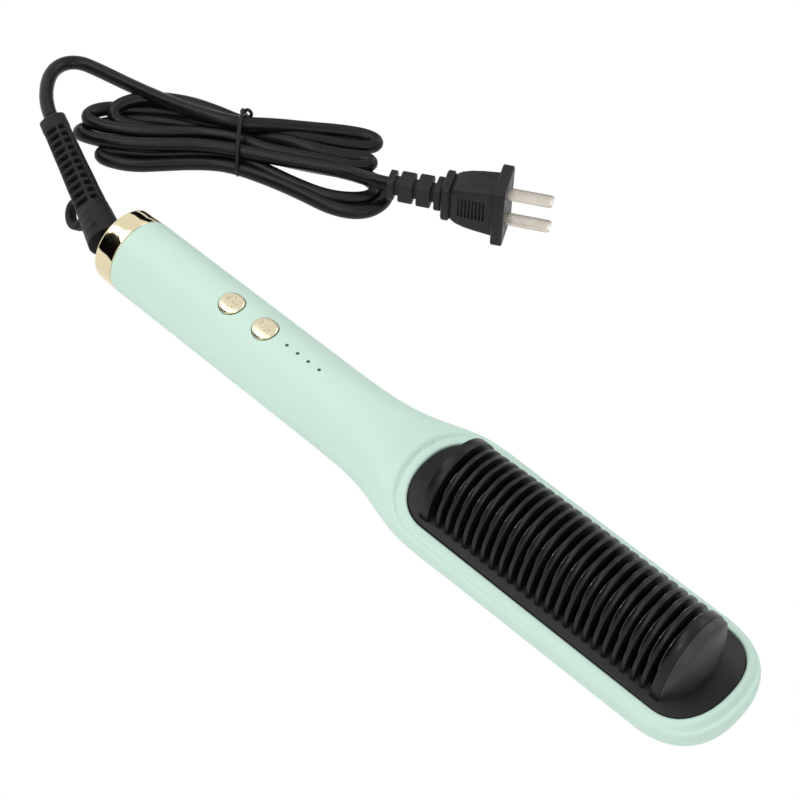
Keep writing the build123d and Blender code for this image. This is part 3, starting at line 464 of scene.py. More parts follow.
RUBBER = finish("black_boot_rubber", (24, 24, 25), (29, 29, 30), 0.52, grain=0.25, mottle=5.0, wear=0.12,
                specular=0.2)
SHEATH = finish("black_cord_sheath", (14, 14, 15), (19, 19, 20), 0.32, grain=0.5, depth=0.01, mottle=18.0,
                wear=0.14, specular=0.22)
PLUG = finish("black_plug_plastic", (26, 26, 28), (32, 32, 34), 0.46, grain=0.2, mottle=7.0, wear=0.12,
              specular=0.25)
WIRE_TIE = finish("black_tie_wire", (18, 18, 19), (24, 24, 25), 0.42, grain=0.2, mottle=2.0, wear=0.1,
                  specular=0.25)
BLADE = finish("nickel_blade", (214, 206, 196), (205, 197, 186), 0.28, grain=0.25, depth=0.006, mottle=5.0,
               wear=0.10, metallic=0.9, stretch=(1.0, 12.0, 12.0))
STEEL = finish("zinc_plated_steel", (178, 180, 184), (160, 162, 168), 0.35, metallic=1.0, mottle=3.0)
BLACK_PART = finish("black_component", (34, 34, 36), (42, 42, 44), 0.5, mottle=2.0)

# finishes of the inner pieces, each with the nodes that have it
INNER_FINISHES = (
    (STEEL, "heater_clamp cover_screws board_screws clamp_screws comb_screws thermal_fuse"),
    (BLACK_PART, "push_switches film_capacitor power_triac"),
    (finish("white_acetal", (228, 228, 222), (220, 220, 214), 0.4, mottle=6.0), "end_cap swivel_hub"),
    (finish("grey_inner_plastic", (172, 172, 174), (164, 164, 166), 0.5, mottle=6.0),
     "contact_block wire_terminal"),
    (finish("sprung_brass", (206, 172, 104), (190, 156, 90), 0.3, metallic=1.0, mottle=3.0),
     "contact_springs contact_pins"),
    (finish("heater_ceramic", (226, 222, 212), (216, 212, 200), 0.6, grain=0.3, mottle=3.0),
     "ceramic_heater temperature_sensor"),
    (finish("brown_mica", (176, 152, 112), (160, 136, 96), 0.45, grain=0.8, mottle=2.0), "mica_sheet"),
    (finish("green_circuit_board", (24, 92, 52), (30, 104, 60), 0.4, grain=0.6, mottle=3.0), "control_board"),
    (finish("blue_capacitor_sleeve", (40, 74, 140), (46, 82, 150), 0.3, mottle=3.0), "supply_capacitor"),
    (finish("milky_lamp", (236, 236, 228), (228, 230, 224), 0.3, mottle=1.0), "indicator_lights"),
    (finish("dark_light_guide", (38, 74, 62), (46, 84, 70), 0.2, mottle=1.0), "light_guide"),
    (finish("fuse_glass", (214, 222, 222), (206, 216, 216), 0.1, mottle=3.0), "glass_fuse"),
    (finish("silicone_insulation", (214, 212, 204), (206, 204, 196), 0.5, mottle=3.0),
     "supply_wires heater_wires sensor_wires"))


# ---------------------------------------------------------------- mesh helpers
def placed(name, data):
    """Object of the scene that holds the data."""
    thing = bpy.data.objects.new(name, data)
    bpy.context.scene.collection.objects.link(thing)
    return thing


def smoothed(thing, sharp=35.0):
    """Smooth shading with sharp edges over an angle."""
    thing.data.shade_smooth()
    thing.data.set_sharp_from_angle(angle=math.radians(sharp))
    return thing


def made(name, points, faces, material, sharp=35.0):
    """Object from points in millimetres: doubles merged, normals outwards, edges over an angle sharp."""
    mesh = bpy.data.meshes.new(name)
    mesh.from_pydata([tuple(c * MM for c in point) for point in points], [], faces)
    work = bmesh.new()
    work.from_mesh(mesh)
    bmesh.ops.remove_doubles(work, verts=work.verts, dist=0.002 * MM)
    bmesh.ops.dissolve_degenerate(work, edges=work.edges, dist=0.002 * MM)
    loose = [corner for corner in work.verts if not corner.link_faces]
    bmesh.ops.delete(work, geom=loose, context="VERTS")
    bmesh.ops.recalc_face_normals(work, faces=work.faces)
    work.to_mesh(mesh)
    work.free()
    mesh.materials.append(material)
    return smoothed(placed(name, mesh), sharp)


def quads(rows, width, closed):
    """Faces between rows of points; in a closed grid every row is a ring."""
    faces = []
    for row in range(rows - 1):
        for step in range(width if closed else width - 1):
            after = (step + 1) % width
            faces.append((row * width + step, row * width + after, (row + 1) * width + after,
                          (row + 1) * width + step))
    return faces


def lofted(name, rings, material, caps=True, sharp=35.0):
    """Skin through rings of points; caps close the first and the last."""
    points = [point for ring in rings for point in ring]
    count = len(rings[0])
    faces = quads(len(rings), count, True)
    if caps:
        faces.append(tuple(reversed(range(count))))
        faces.append(tuple(range(len(points) - count, len(points))))
    return made(name, points, faces, material, sharp)


def settled(thing, sharp):
    """Turns an object with modifiers into a plain mesh."""
    graph = bpy.context.evaluated_depsgraph_get()
    mesh = bpy.data.meshes.new_from_object(thing.evaluated_get(graph))
    thing.modifiers.clear()
    thing.data = mesh
    return smoothed(thing, sharp)


def walled(skin, outwards, wall, sharp):
    """Turns an open skin outwards, by the sum of a measure of its faces, and gives it a wall inwards."""
    if sum(outwards(face) for face in skin.data.polygons) < 0:
        skin.data.flip_normals()
    solidify = skin.modifiers.new("wall", "SOLIDIFY")
    solidify.thickness = wall * MM
    solidify.offset = -1.0
    return settled(skin, sharp)


def joined(name, things):
    """One object from several, each with its own material."""
    materials = []
    work = bmesh.new()
    for thing in things:
        part = bmesh.new()
        part.from_mesh(thing.data)
        for material in thing.data.materials:
            if material not in materials:
                materials.append(material)
        for face in part.faces:
            face.material_index = materials.index(thing.data.materials[face.material_index])
        copy = bpy.data.meshes.new("copy")
        part.to_mesh(copy)
        work.from_mesh(copy)
        part.free()
        bpy.data.objects.remove(thing)
    mesh = bpy.data.meshes.new(name)
    work.to_mesh(mesh)
    work.free()
    for material in materials:
        mesh.materials.append(material)
    return placed(name, mesh)


def cut(thing, tools, sharp=35.0):
    """Takes the tools away from the object."""
    tool = joined("tool", tools)
    modifier = thing.modifiers.new("cut", "BOOLEAN")
    modifier.object = tool
    modifier.solver = "EXACT"
    settled(thing, sharp)
    bpy.data.objects.remove(tool)
    return thing


def circle(radius, count):
    """Points of a circle round the origin."""
    turns = [2 * math.pi * step / count for step in range(count)]
    return [(radius * math.cos(turn), radius * math.sin(turn)) for turn in turns]


def drum(name, centre, radius, low, high, material, count=48):
    """Upright round tool or peg between two heights over its centre."""
    rings = [[centre + Vector((x, y, rise)) for x, y in circle(radius, count)] for rise in (low, high)]
    return lofted(name, rings, material)


def rounded_rectangle(width, height, radius, corner=5):
    """Ring of points of a rounded rectangle."""
    points = []
    for index, (x, y) in enumerate(((1, 1), (-1, 1), (-1, -1), (1, -1))):
        for step in range(corner + 1):
            turn = math.pi / 2 * (index + step / corner)
            points.append((x * (width / 2 - radius) + radius * math.cos(turn),
                           y * (height / 2 - radius) + radius * math.sin(turn)))
    return points


def smooth_step(low, high, value):
    """0 below the first limit and 1 above the second, whichever way they lie."""
    t = min(max((value - low) / (high - low), 0), 1)
    return t * t * (3 - 2 * t)


def rows_round(table, place):
    """Rows of a table on both sides of a place, or its last two past the end."""
    for low, high in zip(table, table[1:]):
        if place <= high[0]:
            break
    return low, high


def table_value(table, share, column):
    """Smooth value between the rows of a table."""
    last = len(table) - 1
    if share >= table[last][0]:
        return table[last][column]
    row = max(index for index in range(last) if table[index][0] <= share)
    slopes = []
    for index in (row, row + 1):
        before = table[max(index - 1, 0)]
        after = table[min(index + 1, last)]
        slopes.append((after[column] - before[column]) / (after[0] - before[0]))
    width = table[row + 1][0] - table[row][0]
    t = (share - table[row][0]) / width
    pull = (t - 2 * t * t + t * t * t) * slopes[0] + (t * t * t - t * t) * slopes[1]
    low, high = table[row][column], table[row + 1][column]
    return low + (high - low) * t * t * (3 - 2 * t) + pull * width


# ---------------------------------------------------------------- the body's surface
def power_curve(share, power):
    """Height left on a rounded end at a share of its length."""
    return max(1 - share ** power, 0) ** (1 / power)


def body_section(distance, inset=0.0):
    """Half width, top, bottom, widest rise and power of the body's section."""
    low = UNDERSIDE + inset
    if distance <= NECK_START:
        return HANDLE_HALF_WIDTH - inset, HANDLE_TOP - inset, low, 0.0, HANDLE_POWER
    if distance <= TIP_START:
        share = (distance - NECK_START) / NECK_LENGTH
        wide = table_value(NECK_TABLE, share, 1)
        drop = table_value(NECK_TABLE, share, 2)
        narrowing = (NECK_HALF_WIDTH - HEAD_HALF_WIDTH) * max(share - NARROWING_START, 0)
        narrowing = narrowing / ((TIP_START - NECK_START) / NECK_LENGTH - NARROWING_START)
        half_width = HANDLE_HALF_WIDTH + (NECK_HALF_WIDTH - HANDLE_HALF_WIDTH) * wide - narrowing
        top = HANDLE_TOP + (HEAD_TOP - HANDLE_TOP) * drop
        power = HANDLE_POWER + HEAD_POWER_GAIN * drop
        return half_width - inset, top - inset, low, HEAD_WIDEST * drop, power
    share = min((distance - TIP_START) / (TIP_LENGTH - inset), 1.0)
    half_width = (HEAD_HALF_WIDTH - inset) * power_curve(share, TIP_PLAN_POWER)
    top = HEAD_WIDEST + (HEAD_TOP - inset - HEAD_WIDEST) * power_curve(share, TIP_TOP_POWER)
    bottom = HEAD_WIDEST + (low - HEAD_WIDEST) * power_curve(share, TIP_BOTTOM_POWER)
    return half_width, top, bottom, HEAD_WIDEST, HANDLE_POWER + HEAD_POWER_GAIN


def section_point(distance, turn, inset=0.0):
    """Side and rise of the body's surface at a distance and a turn round the section."""
    half_width, top, bottom, widest, power = body_section(distance, inset)
    cosine, sine = math.cos(turn), math.sin(turn)
    if sine < 0:
        power = min(power, LOWER_POWER)
    side = math.copysign(abs(cosine) ** (2 / power), cosine) * half_width
    lift = math.copysign(abs(sine) ** (2 / power), sine)
    return side, widest + lift * ((top - widest) if lift > 0 else (widest - bottom))


def body_rise(distance, side):
    """Rise of the body's upper surface at a side step."""
    half_width, top, bottom, widest, power = body_section(min(distance, TIP_END - 0.01))
    return widest + (top - widest) * power_curve(min(abs(side) / max(half_width, 0.01), 1.0), power)


def lower_rise(distance, side):
    """Rise of the body's underside at a side step."""
    half_width, top, bottom, widest, power = body_section(distance)
    drop = (widest - bottom) * power_curve(min(abs(side) / half_width, 1.0), min(power, LOWER_POWER))
    return max(widest - drop, -AXIS_HEIGHT)


def crowned(side, rise):
    """Rise of a crowned surface at a side step."""
    return rise - side * side / (2 * CROWN_RADIUS)


def outset_at(distance, side):
    """Distance outwards from the panel's outline, negative inside it."""
    if SIDES_START <= distance <= SIDES_END:
        return abs(side) - PANEL_HALF_WIDTH
    reach = PANEL_END_ROUND if distance > SIDES_END else PANEL_START_ROUND
    along = distance - SIDES_END if distance > SIDES_END else SIDES_START - distance
    a, b = along / reach, abs(side) / PANEL_HALF_WIDTH
    level = (a ** PANEL_POWER + b ** PANEL_POWER) ** (1 / PANEL_POWER)
    slope = math.hypot((a / level) ** (PANEL_POWER - 1) / reach,
                       (b / level) ** (PANEL_POWER - 1) / PANEL_HALF_WIDTH)
    return (level - 1) / slope


def outline(outset, end_steps=44, side_steps=40):
    """Closed ring of the panel's outline moved outwards: tip, far side, cord end, near side."""
    ring = []
    for centre, other, reach, sign in ((SIDES_END, SIDES_START, PANEL_END_ROUND, 1),
                                       (SIDES_START, SIDES_END, PANEL_START_ROUND, -1)):
        for step in range(end_steps + 1):
            turn = math.pi * (step / end_steps - 0.5)
            cosine, sine = max(math.cos(turn), 0), math.sin(turn)
            x = reach * cosine ** (2 / PANEL_POWER)
            y = PANEL_HALF_WIDTH * math.copysign(abs(sine) ** (2 / PANEL_POWER), sine)
            slope_x = (x / reach) ** (PANEL_POWER - 1) / reach
            slope_y = (abs(y) / PANEL_HALF_WIDTH) ** (PANEL_POWER - 1) / PANEL_HALF_WIDTH
            slope_y = math.copysign(slope_y, y)
            norm = math.hypot(slope_x, slope_y)
            ring.append((centre + sign * (x + outset * slope_x / norm), sign * (y + outset * slope_y / norm)))
        for step in range(1, side_steps):
            ring.append((centre + (other - centre) * step / side_steps, sign * (PANEL_HALF_WIDTH + outset)))
    return ring


def skin_rise(distance, side):
    """Rise of the finished upper surface: bead round the panel, soft groove and outer shoulder."""
    base = body_rise(distance, side)
    outset = outset_at(distance, side)
    rise = base + (crowned(side, BEAD_RISE) - base) * smooth_step(*BEAD_FADE, outset)
    rise -= GROOVE_DEPTH * math.exp(-((outset - GROOVE_PLACE) / GROOVE_WIDTH) ** 2)
    rise += RIDGE_HEIGHT * math.exp(-((outset - RIDGE_PLACE) / RIDGE_WIDTH) ** 2)
    return rise - BEAD_EDGE_DROP * max(0.0, (BEAD_EDGE - outset) / BEAD_EDGE_WIDTH) ** 2


def body_distances():
    """Distances of the shell's rows, closer together over the head."""
    rows = [RING_LENGTH + RING_SEAM + step * HANDLE_ROW_STEP for step in range(HANDLE_ROWS)]
    place = NECK_START
    while place < TIP_START:
        rows.append(place)
        place += HEAD_ROW_STEP
    for step in range(TIP_ROWS + 1):
        share = math.sin(math.radians(step * 90 / TIP_ROWS)) ** (2 / TIP_PLAN_POWER)
        rows.append(TIP_START + TIP_LENGTH * min(share, LAST_ROW_SHARE))
    return rows + [TIP_END]


def parting_turn(distance):
    """Turn round the section at which the surface meets the parting plane."""
    half_width, top, bottom, widest, power = body_section(distance)
    if bottom >= PARTING_RISE:
        return -math.pi / 2
    return -math.asin(((widest - PARTING_RISE) / (widest - bottom)) ** (min(power, LOWER_POWER) / 2))


def from_axis(face):
    """How far a face of the shell looks away from the body's axis, by its area."""
    return (face.normal.y * face.center.y + face.normal.z * (face.center.z - AXIS_HEIGHT * MM)) * face.area


def upper_shell():
    """Upper housing with its soft shoulders, button holes and light holes, and the bead as its own ring."""
    distances = body_distances()
    points = []
    inside = []
    for distance in distances:
        low = parting_turn(distance)
        widest = body_section(distance)[3]
        for column in range(UPPER_COLUMNS + 1):
            side, rise = section_point(distance, low + (math.pi - 2 * low) * column / UPPER_COLUMNS)
            outset = outset_at(distance, side) if distance > HEAD_FROM else FAR_OUTSIDE
            upper = rise > widest
            if upper and outset < SHOULDER_REACH:
                share = smooth_step(*SHOULDER_FADE, rise - widest)
                rise += (skin_rise(distance, side) - body_rise(distance, side)) * share
            if column in (0, UPPER_COLUMNS) and low > LAST_PARTING_TURN:
                side *= PARTING_LIP
            points.append(at(distance, side, rise))
            inside.append(upper and outset < SHELL_OPENING)
    faces = [corners for corners in quads(len(distances), UPPER_COLUMNS + 1, False)
             if not all(inside[corner] for corner in corners)]
    shell = walled(made("shell", points, faces, MINT, 60), from_axis, SHELL_WALL, 50)
    tools = [drum("hole", at(place), BUTTON_HOLE, *HOLE_REACH, MINT) for place in BUTTON_PLACES]
    tools += [drum("hole", at(place), LIGHT_HOLE, *HOLE_REACH, MINT, 20) for place in LIGHT_PLACES]
    return joined("handle_shell", [cut(shell, tools, 40), bead_ring()])


def bead_ring():
    """Rounded bead that frames the black panel."""
    rings = [[at(distance, side, crowned(side, BEAD_FOOT_RISE)) for distance, side in outline(BEAD_FOOT)]]
    for outset, drop in BEAD_SKIN:
        rings.append([at(distance, side, skin_rise(distance, side) + BEAD_PROUD - drop)
                      for distance, side in outline(outset)])
    return lofted("bead", rings + rings[:1], MINT, caps=False, sharp=60)


def lower_shell():
    """Lower housing: flat underside, thin parting line and recessed screw seats."""
    distances = [place for place in body_distances() if body_section(place)[2] < PARTING_RISE - 0.02]
    points = []
    for distance in distances:
        low = parting_turn(distance)
        for column in range(LOWER_COLUMNS + 1):
            side, rise = section_point(distance, low + (-math.pi - 2 * low) * column / LOWER_COLUMNS)
            if column in (0, LOWER_COLUMNS):
                side *= PARTING_LIP
            points.append(at(distance, side, max(min(rise, PARTING_RISE - PARTING_GAP), -AXIS_HEIGHT)))
    faces = quads(len(distances), LOWER_COLUMNS + 1, False)
    shell = walled(made("shell", points, faces, MINT, 60), from_axis, SHELL_WALL, 50)
    cut(shell, [drum("hole", at(place, side), SEAT_RADIUS, *SEAT_HOLE_REACH, MINT, SCREW_STEPS)
                for place, side, seat in CASE_SCREWS], 40)
    return joined("lower_shell", [shell] + [screw_seat(*screw) for screw in CASE_SCREWS])


def screw_seat(place, side, seat):
    """Sunk seat of one case screw, whose mouth follows the underside."""
    rings = []
    for radius, rise in SEAT_PROFILE:
        ring = []
        for x, y in circle(radius, SCREW_STEPS):
            if rise is None:
                height = min(lower_rise(place + x, side + y) + SEAT_MOUTH_GAP, seat + SEAT_DEEPEST_MOUTH)
            else:
                height = seat + rise
            ring.append(at(place + x, side + y, height))
        rings.append(ring)
    return lofted("seat", rings, MINT, caps=False)


def housing_screws():
    """Countersunk cross-head screws of the lower housing."""
    screws = []
    for place, side, seat in CASE_SCREWS:
        rings = [[at(place, side, seat) + Vector((x, y, rise)) for x, y in circle(radius, SCREW_STEPS)]
                 for radius, rise in SCREW_PROFILE]
        screw = lofted("screw", rings, STEEL)
        for turn in (CROSS_TURN, CROSS_TURN + math.pi / 2):
            cosine, sine = math.cos(turn), math.sin(turn)
            bar = [(x * CROSS_HALF_LENGTH, y * CROSS_HALF_WIDTH) for x, y in CORNERS]
            ends = [[at(place, side, seat + rise) + Vector((x * cosine - y * sine, x * sine + y * cosine, 0))
                     for x, y in bar] for rise in CROSS_REACH]
            cut(screw, [lofted("bar", ends, STEEL)])
        screws.append(screw)
    return joined("housing_screws", screws)


def polished_ring():
    """Polished ring with rounded rims and a turned-in lip round the cord's dome."""
    rings = []
    for distance, inset in RING_SKIN:
        ring = []
        for step in range(RING_STEPS):
            side, rise = section_point(distance, 2 * math.pi * step / RING_STEPS, inset)
            ring.append(at(distance, side, max(rise, inset - AXIS_HEIGHT)))
        rings.append(ring)
    for distance, radius in RING_LIP:
        rings.append([at(distance, side, rise) for side, rise in circle(radius, RING_STEPS)])
    return lofted("gold_ring", rings + rings[:1], GOLD, caps=False, sharp=40)


# ---------------------------------------------------------------- black guard and heated fins
def crest(distance):
    """Crest rise of the ribs."""
    share = (distance - END_PLATE_START) / (END_BLOCK_START - END_PLATE_START)
    return CREST_HIGH - (CREST_HIGH - CREST_LOW) * (1 - min(max(share / CREST_REACH, 0), 1)) ** 2


def fin_places():
    """Middles of the gaps between the ribs."""
    first = (END_PLATE_START + END_PLATE_THICKNESS + FIRST_RIB - RIB_THICKNESS / 2) / 2
    last_rib = FIRST_RIB + (RIB_COUNT - 1) * RIB_PITCH
    middle = [FIRST_RIB + (index + 0.5) * RIB_PITCH for index in range(RIB_COUNT - 1)]
    return [first] + middle + [(last_rib + RIB_THICKNESS / 2 + END_BLOCK_START) / 2]


def slotted_sheet():
    """Flat panel with a slot for every fin, cut into strips along the head."""
    work = bmesh.new()
    rings = [outline(-0.45)]
    for place in fin_places():
        rings.append([(place + x * SLOT_WIDTH / 2, y * SLOT_HALF_LENGTH) for x, y in CORNERS])
    edges = []
    for ring in rings:
        corners = [work.verts.new((distance * MM, side * MM, 0)) for distance, side in ring]
        for index in range(len(corners)):
            edges.append(work.edges.new((corners[index - 1], corners[index])))
    bmesh.ops.triangle_fill(work, use_beauty=True, edges=edges)
    for side in PANEL_CUTS:
        parts = work.verts[:] + work.edges[:] + work.faces[:]
        bmesh.ops.bisect_plane(work, geom=parts, plane_co=(0, side * MM, 0), plane_no=(0, 1, 0))
    sheet = bpy.data.meshes.new("sheet")
    work.to_mesh(sheet)
    work.free()
    return sheet


def panel():
    """Crowned black panel with a soft edge and a slot for every fin."""
    sheet = slotted_sheet()
    points = []
    for vertex in sheet.vertices:
        distance, side = vertex.co.x / MM, vertex.co.y / MM
        points.append(at(distance, side, crowned(side, PANEL_RISE)))
    skin = made("skin", points, [tuple(face.vertices) for face in sheet.polygons], GUARD, 30)
    walled(skin, lambda face: face.normal.z, PANEL_THICKNESS, 30)
    rings = [[at(distance, side, crowned(side, PANEL_RISE - drop)) for distance, side in outline(outset)]
             for outset, drop in PANEL_EDGE]
    return [skin, lofted("rim", rings + rings[:1], GUARD, caps=False, sharp=45)]


def arch_ring(half_width, height, inset=0.0, steps=48):
    """Side steps and rises of an arched plate: half an ellipse with feet that run down into the panel."""
    ring = [(-half_width + inset, FOOT_DEPTH)]
    for step in range(steps + 1):
        turn = math.pi * (1 - step / steps)
        ring.append(((half_width - inset) * math.cos(turn), (height - inset) * math.sin(turn)))
    ring.append((half_width - inset, FOOT_DEPTH))
    return ring


def plate(name, start, end, half_width, height, soft):
    """Arched plate of the guard across the head, with softened edges and its foot at rise zero."""
    rings = []
    for place, inset in ((start, soft), (start + soft * 0.3, soft * 0.3), (start + soft, 0.0),
                         (end - soft, 0.0), (end - soft * 0.3, soft * 0.3), (end, soft)):
        rings.append([Vector((place, side, rise)) for side, rise in arch_ring(half_width, height, inset)])
    return lofted(name, rings, GUARD, sharp=30)


def row_tree(name, material):
    """Node tree that repeats one plate along the head and scales each to the crest line."""
    tree = bpy.data.node_groups.new(name, "GeometryNodeTree")
    tree.interface.new_socket("Geometry", in_out="INPUT", socket_type="NodeSocketGeometry")
    for label in ("Count", "First", "Pitch", "Foot", "Drop", "Crest Start", "Crest Length"):
        kind = "NodeSocketInt" if label == "Count" else "NodeSocketFloat"
        tree.interface.new_socket(label, in_out="INPUT", socket_type=kind)
    tree.interface.new_socket("Geometry", in_out="OUTPUT", socket_type="NodeSocketGeometry")
    start = Wire(tree)
    group = tree.nodes.new("NodeGroupInput")
    inputs = {socket.name: Wire(tree, socket) for socket in group.outputs if socket.name}
    place = inputs["First"] + start.node("GeometryNodeInputIndex") * inputs["Pitch"]
    share = (place - inputs["Crest Start"]) / inputs["Crest Length"]
    share = start.node("ShaderNodeClamp", inputs={"Value": share})
    height = 1 - inputs["Drop"] * (1 - share) ** 2.0
    origin = start.node("ShaderNodeCombineXYZ", inputs={"X": inputs["First"], "Z": inputs["Foot"]})
    offset = start.node("ShaderNodeCombineXYZ", inputs={"X": inputs["Pitch"]})
    line = start.node("GeometryNodeMeshLine", {"mode": "OFFSET"},
                      {"Count": inputs["Count"], "Start Location": origin, "Offset": offset})
    scale = start.node("ShaderNodeCombineXYZ", inputs={"X": 1.0, "Y": 1.0, "Z": height})
    copies = start.node("GeometryNodeInstanceOnPoints",
                        inputs={"Points": line, "Instance": inputs["Geometry"], "Scale": scale})
    real = start.node("GeometryNodeRealizeInstances", inputs={"Geometry": copies})
    coloured = start.node("GeometryNodeSetMaterial", inputs={"Geometry": real, "Material": material})
    out = tree.nodes.new("NodeGroupOutput")
    tree.links.new(coloured.socket, out.inputs[0])
    return tree


def crest_row(thing, name, material, sharp, count, first, foot, height):
    """Row of one plate from a first place, on a foot, the plate's height scaled down to the crest line."""
    values = {"Count": count, "First": (first - BODY_LENGTH / 2) * MM, "Pitch": RIB_PITCH * MM,
              "Foot": at(0, 0, foot).z * MM, "Drop": (CREST_HIGH - CREST_LOW) / height,
              "Crest Start": (END_PLATE_START - BODY_LENGTH / 2) * MM,
              "Crest Length": (END_BLOCK_START - END_PLATE_START) * CREST_REACH * MM}
    tree = row_tree(name, material)
    modifier = thing.modifiers.new(name, "NODES")
    modifier.node_group = tree
    for item in tree.interface.items_tree:
        if item.in_out == "INPUT" and item.name in values:
            modifier[item.identifier] = values[item.name]
    return settled(thing, sharp)


def comb_guard():
    """Black panel with its end plate, arched ribs and domed end block."""
    ends = [plate("end_plate", END_PLATE_START, END_PLATE_START + END_PLATE_THICKNESS, END_PLATE_HALF_WIDTH,
                  CREST_LOW - RIB_FOOT, 0.4), end_block()]
    for thing in ends:
        thing.data.transform(Matrix.Translation(at(0, 0, RIB_FOOT) * MM))
    height = CREST_HIGH - RIB_FOOT
    rib = plate("rib", -RIB_THICKNESS / 2, RIB_THICKNESS / 2, RIB_HALF_WIDTH, height, 0.28)
    ribs = crest_row(rib, "rib_row", GUARD, 30, RIB_COUNT, FIRST_RIB, RIB_FOOT, height)
    return joined("comb_guard", panel() + ends + [ribs])


def dome_place(side, rise):
    """Distance of the dome's surface at a side step and a rise over the ribs' foot."""
    (low, first), (high, second) = rows_round(DOME_BULGES, rise)
    bulge = first + (second - first) * (rise - low) / (high - low)
    return DOME_FACE + (bulge + 1) * max(1 - (side / DOME_HALF_WIDTH) ** 2, 0) ** 0.8


def end_block():
    """Arched strip with a smooth dome that bulges towards the tip."""
    height = crest(END_BLOCK_START) - RIB_FOOT
    strip = plate("strip", END_BLOCK_START, END_BLOCK_START + STRIP_THICKNESS, END_BLOCK_HALF_WIDTH, height,
                  0.35)
    outer = arch_ring(END_BLOCK_HALF_WIDTH - DOME_INSET, height - DOME_INSET, 0.0, 40)
    rings = [[Vector((END_BLOCK_START + 1.0, side, rise)) for side, rise in outer]]
    for share in DOME_SHARES:
        soft = DOME_SOFT * max(0.0, (share - DOME_SOFT_SHARE) / DOME_SOFT_REACH) ** 2
        ring = []
        for side, rise in outer:
            side, rise = side * share, (rise - FOOT_DEPTH) * share + FOOT_DEPTH
            ring.append(Vector((dome_place(side, rise) - soft, side, rise)))
        rings.append(ring)
    return joined("end_block", [strip, lofted("dome", rings, DOME_PAINTED_LIGHTER, sharp=50)])


def bell_point(turn, gap):
    """Side step and rise over the fin's base of its edge, a gap inside the rib's half ellipse."""
    turn = math.radians(turn)
    half_width, height = RIB_HALF_WIDTH, CREST_HIGH - RIB_FOOT
    normal = Vector((math.cos(turn) / half_width, math.sin(turn) / height)).normalized()
    return (half_width * math.cos(turn) - gap * normal.x,
            RIB_FOOT - FIN_BASE + height * math.sin(turn) - gap * normal.y)


def comb_fins():
    """Coated comb: base plate under the panel and one bell-shaped fin in every gap."""
    top = CREST_HIGH - FIN_BELOW_CREST - FIN_BASE
    side = [bell_point(turn, gap) for turn, gap in BELL_GAPS] + [(FIN_HALF_WIDTH, 0.0)]
    bell = [(-width, rise) for width, rise in reversed(side)] + side[1:]
    half = FIN_THICKNESS / 2
    edges = [(-half + inwards, inset) for inwards, inset in FIN_EDGE]
    edges += [(half - inwards, inset) for inwards, inset in reversed(FIN_EDGE)]
    rings = []
    for place, inset in edges:
        scale_side, scale_rise = 1 - inset / FIN_HALF_WIDTH, 1 - inset / top
        rings.append([Vector((place, width * scale_side, rise * scale_rise)) for width, rise in bell])
    places = fin_places()
    base = at(0, 0, FIN_BASE).z
    ends = []
    for place in (places[0], places[-1]):
        share = (crest(place) - FIN_BELOW_CREST - FIN_BASE) / top
        ends.append(lofted("end_fin", [[Vector((p.x + place - BODY_LENGTH / 2, p.y, p.z * share + base))
                                        for p in ring] for ring in rings], FIN, sharp=40))
    fin = lofted("fin", rings, FIN, sharp=40)
    fins = crest_row(fin, "fin_row", FIN, 40, len(places) - 2, places[1], FIN_BASE, top)
    rings = []
    for rise, inset in BASE_PLATE_EDGE:
        ring = rounded_rectangle(BASE_PLATE_LENGTH - inset, BASE_PLATE_WIDTH - inset, 2.0)
        rings.append([at(BASE_PLATE_MIDDLE + x, y, rise) for x, y in ring])
    return joined("comb_fins", [fins, lofted("base_plate", rings, FIN)] + ends)


# ---------------------------------------------------------------- buttons
def button(name, place, marks):
    """Round button: curved top with a soft rim, retaining flange, stem and an engraved mark."""
    rings = []
    for radius in BUTTON_TOP_RADII:
        rim = BUTTON_RIM_DROP * max(0.0, (radius - BUTTON_RIM) / BUTTON_RIM_WIDTH) ** 2
        ring = []
        for x, side in circle(radius, BUTTON_STEPS):
            share = (side / (HANDLE_HALF_WIDTH + BUTTON_PROUD)) ** 2
            ring.append(at(place + x, side, (HANDLE_TOP + BUTTON_PROUD) * math.sqrt(1 - share) - rim))
        rings.append(ring)
    for radius, rise in BUTTON_STEM:
        rings.append([at(place + x, side, rise) for x, side in circle(radius, BUTTON_STEPS)])
    key = lofted(name, rings, GOLD_BUTTON)
    tools = []
    for mark in marks:
        low = [at(place + x, y, MARK_FLOOR - y * y / MARK_CROWN) for x, y in mark]
        high = [at(place + x, y, MARK_TOP) for x, y in mark]
        tools.append(lofted("mark", [low, high], GOLD_BUTTON))
    return cut(key, tools)


def band(middle, radius, width, start, end, steps=20):
    """Flat arc-shaped mark."""
    edges = []
    for reach in (radius + width / 2, radius - width / 2):
        turns = [math.radians(start + (end - start) * step / steps) for step in range(steps + 1)]
        edges.append([(middle[0] + reach * math.cos(turn), middle[1] + reach * math.sin(turn))
                      for turn in turns])
    return edges[0] + edges[1][::-1]


def stroke(start, end, width):
    """Flat straight mark."""
    along = Vector((end[0] - start[0], end[1] - start[1])).normalized() * (width / 2)
    return [(start[0] - along.y, start[1] + along.x), (end[0] - along.y, end[1] + along.x),
            (end[0] + along.y, end[1] - along.x), (start[0] + along.y, start[1] - along.x)]


def power_marks():
    """Open ring with a stroke through its gap."""
    return [band((0, 0), 2.35, 0.4, 35, 325), stroke((0.2, 0), (2.8, 0), 0.4)]


def heat_marks():
    """Curved mark beside four short rays."""
    rays = []
    for turn in (45, 135, 225, 315):
        x, y = math.cos(math.radians(turn)), math.sin(math.radians(turn))
        rays.append(stroke((1.7 + 0.45 * x, -0.7 + 0.45 * y), (1.7 + 1.25 * x, -0.7 + 1.25 * y), 0.32))
    return [band((-1.1, 0.4), 1.5, 0.36, 60, 300)] + rays


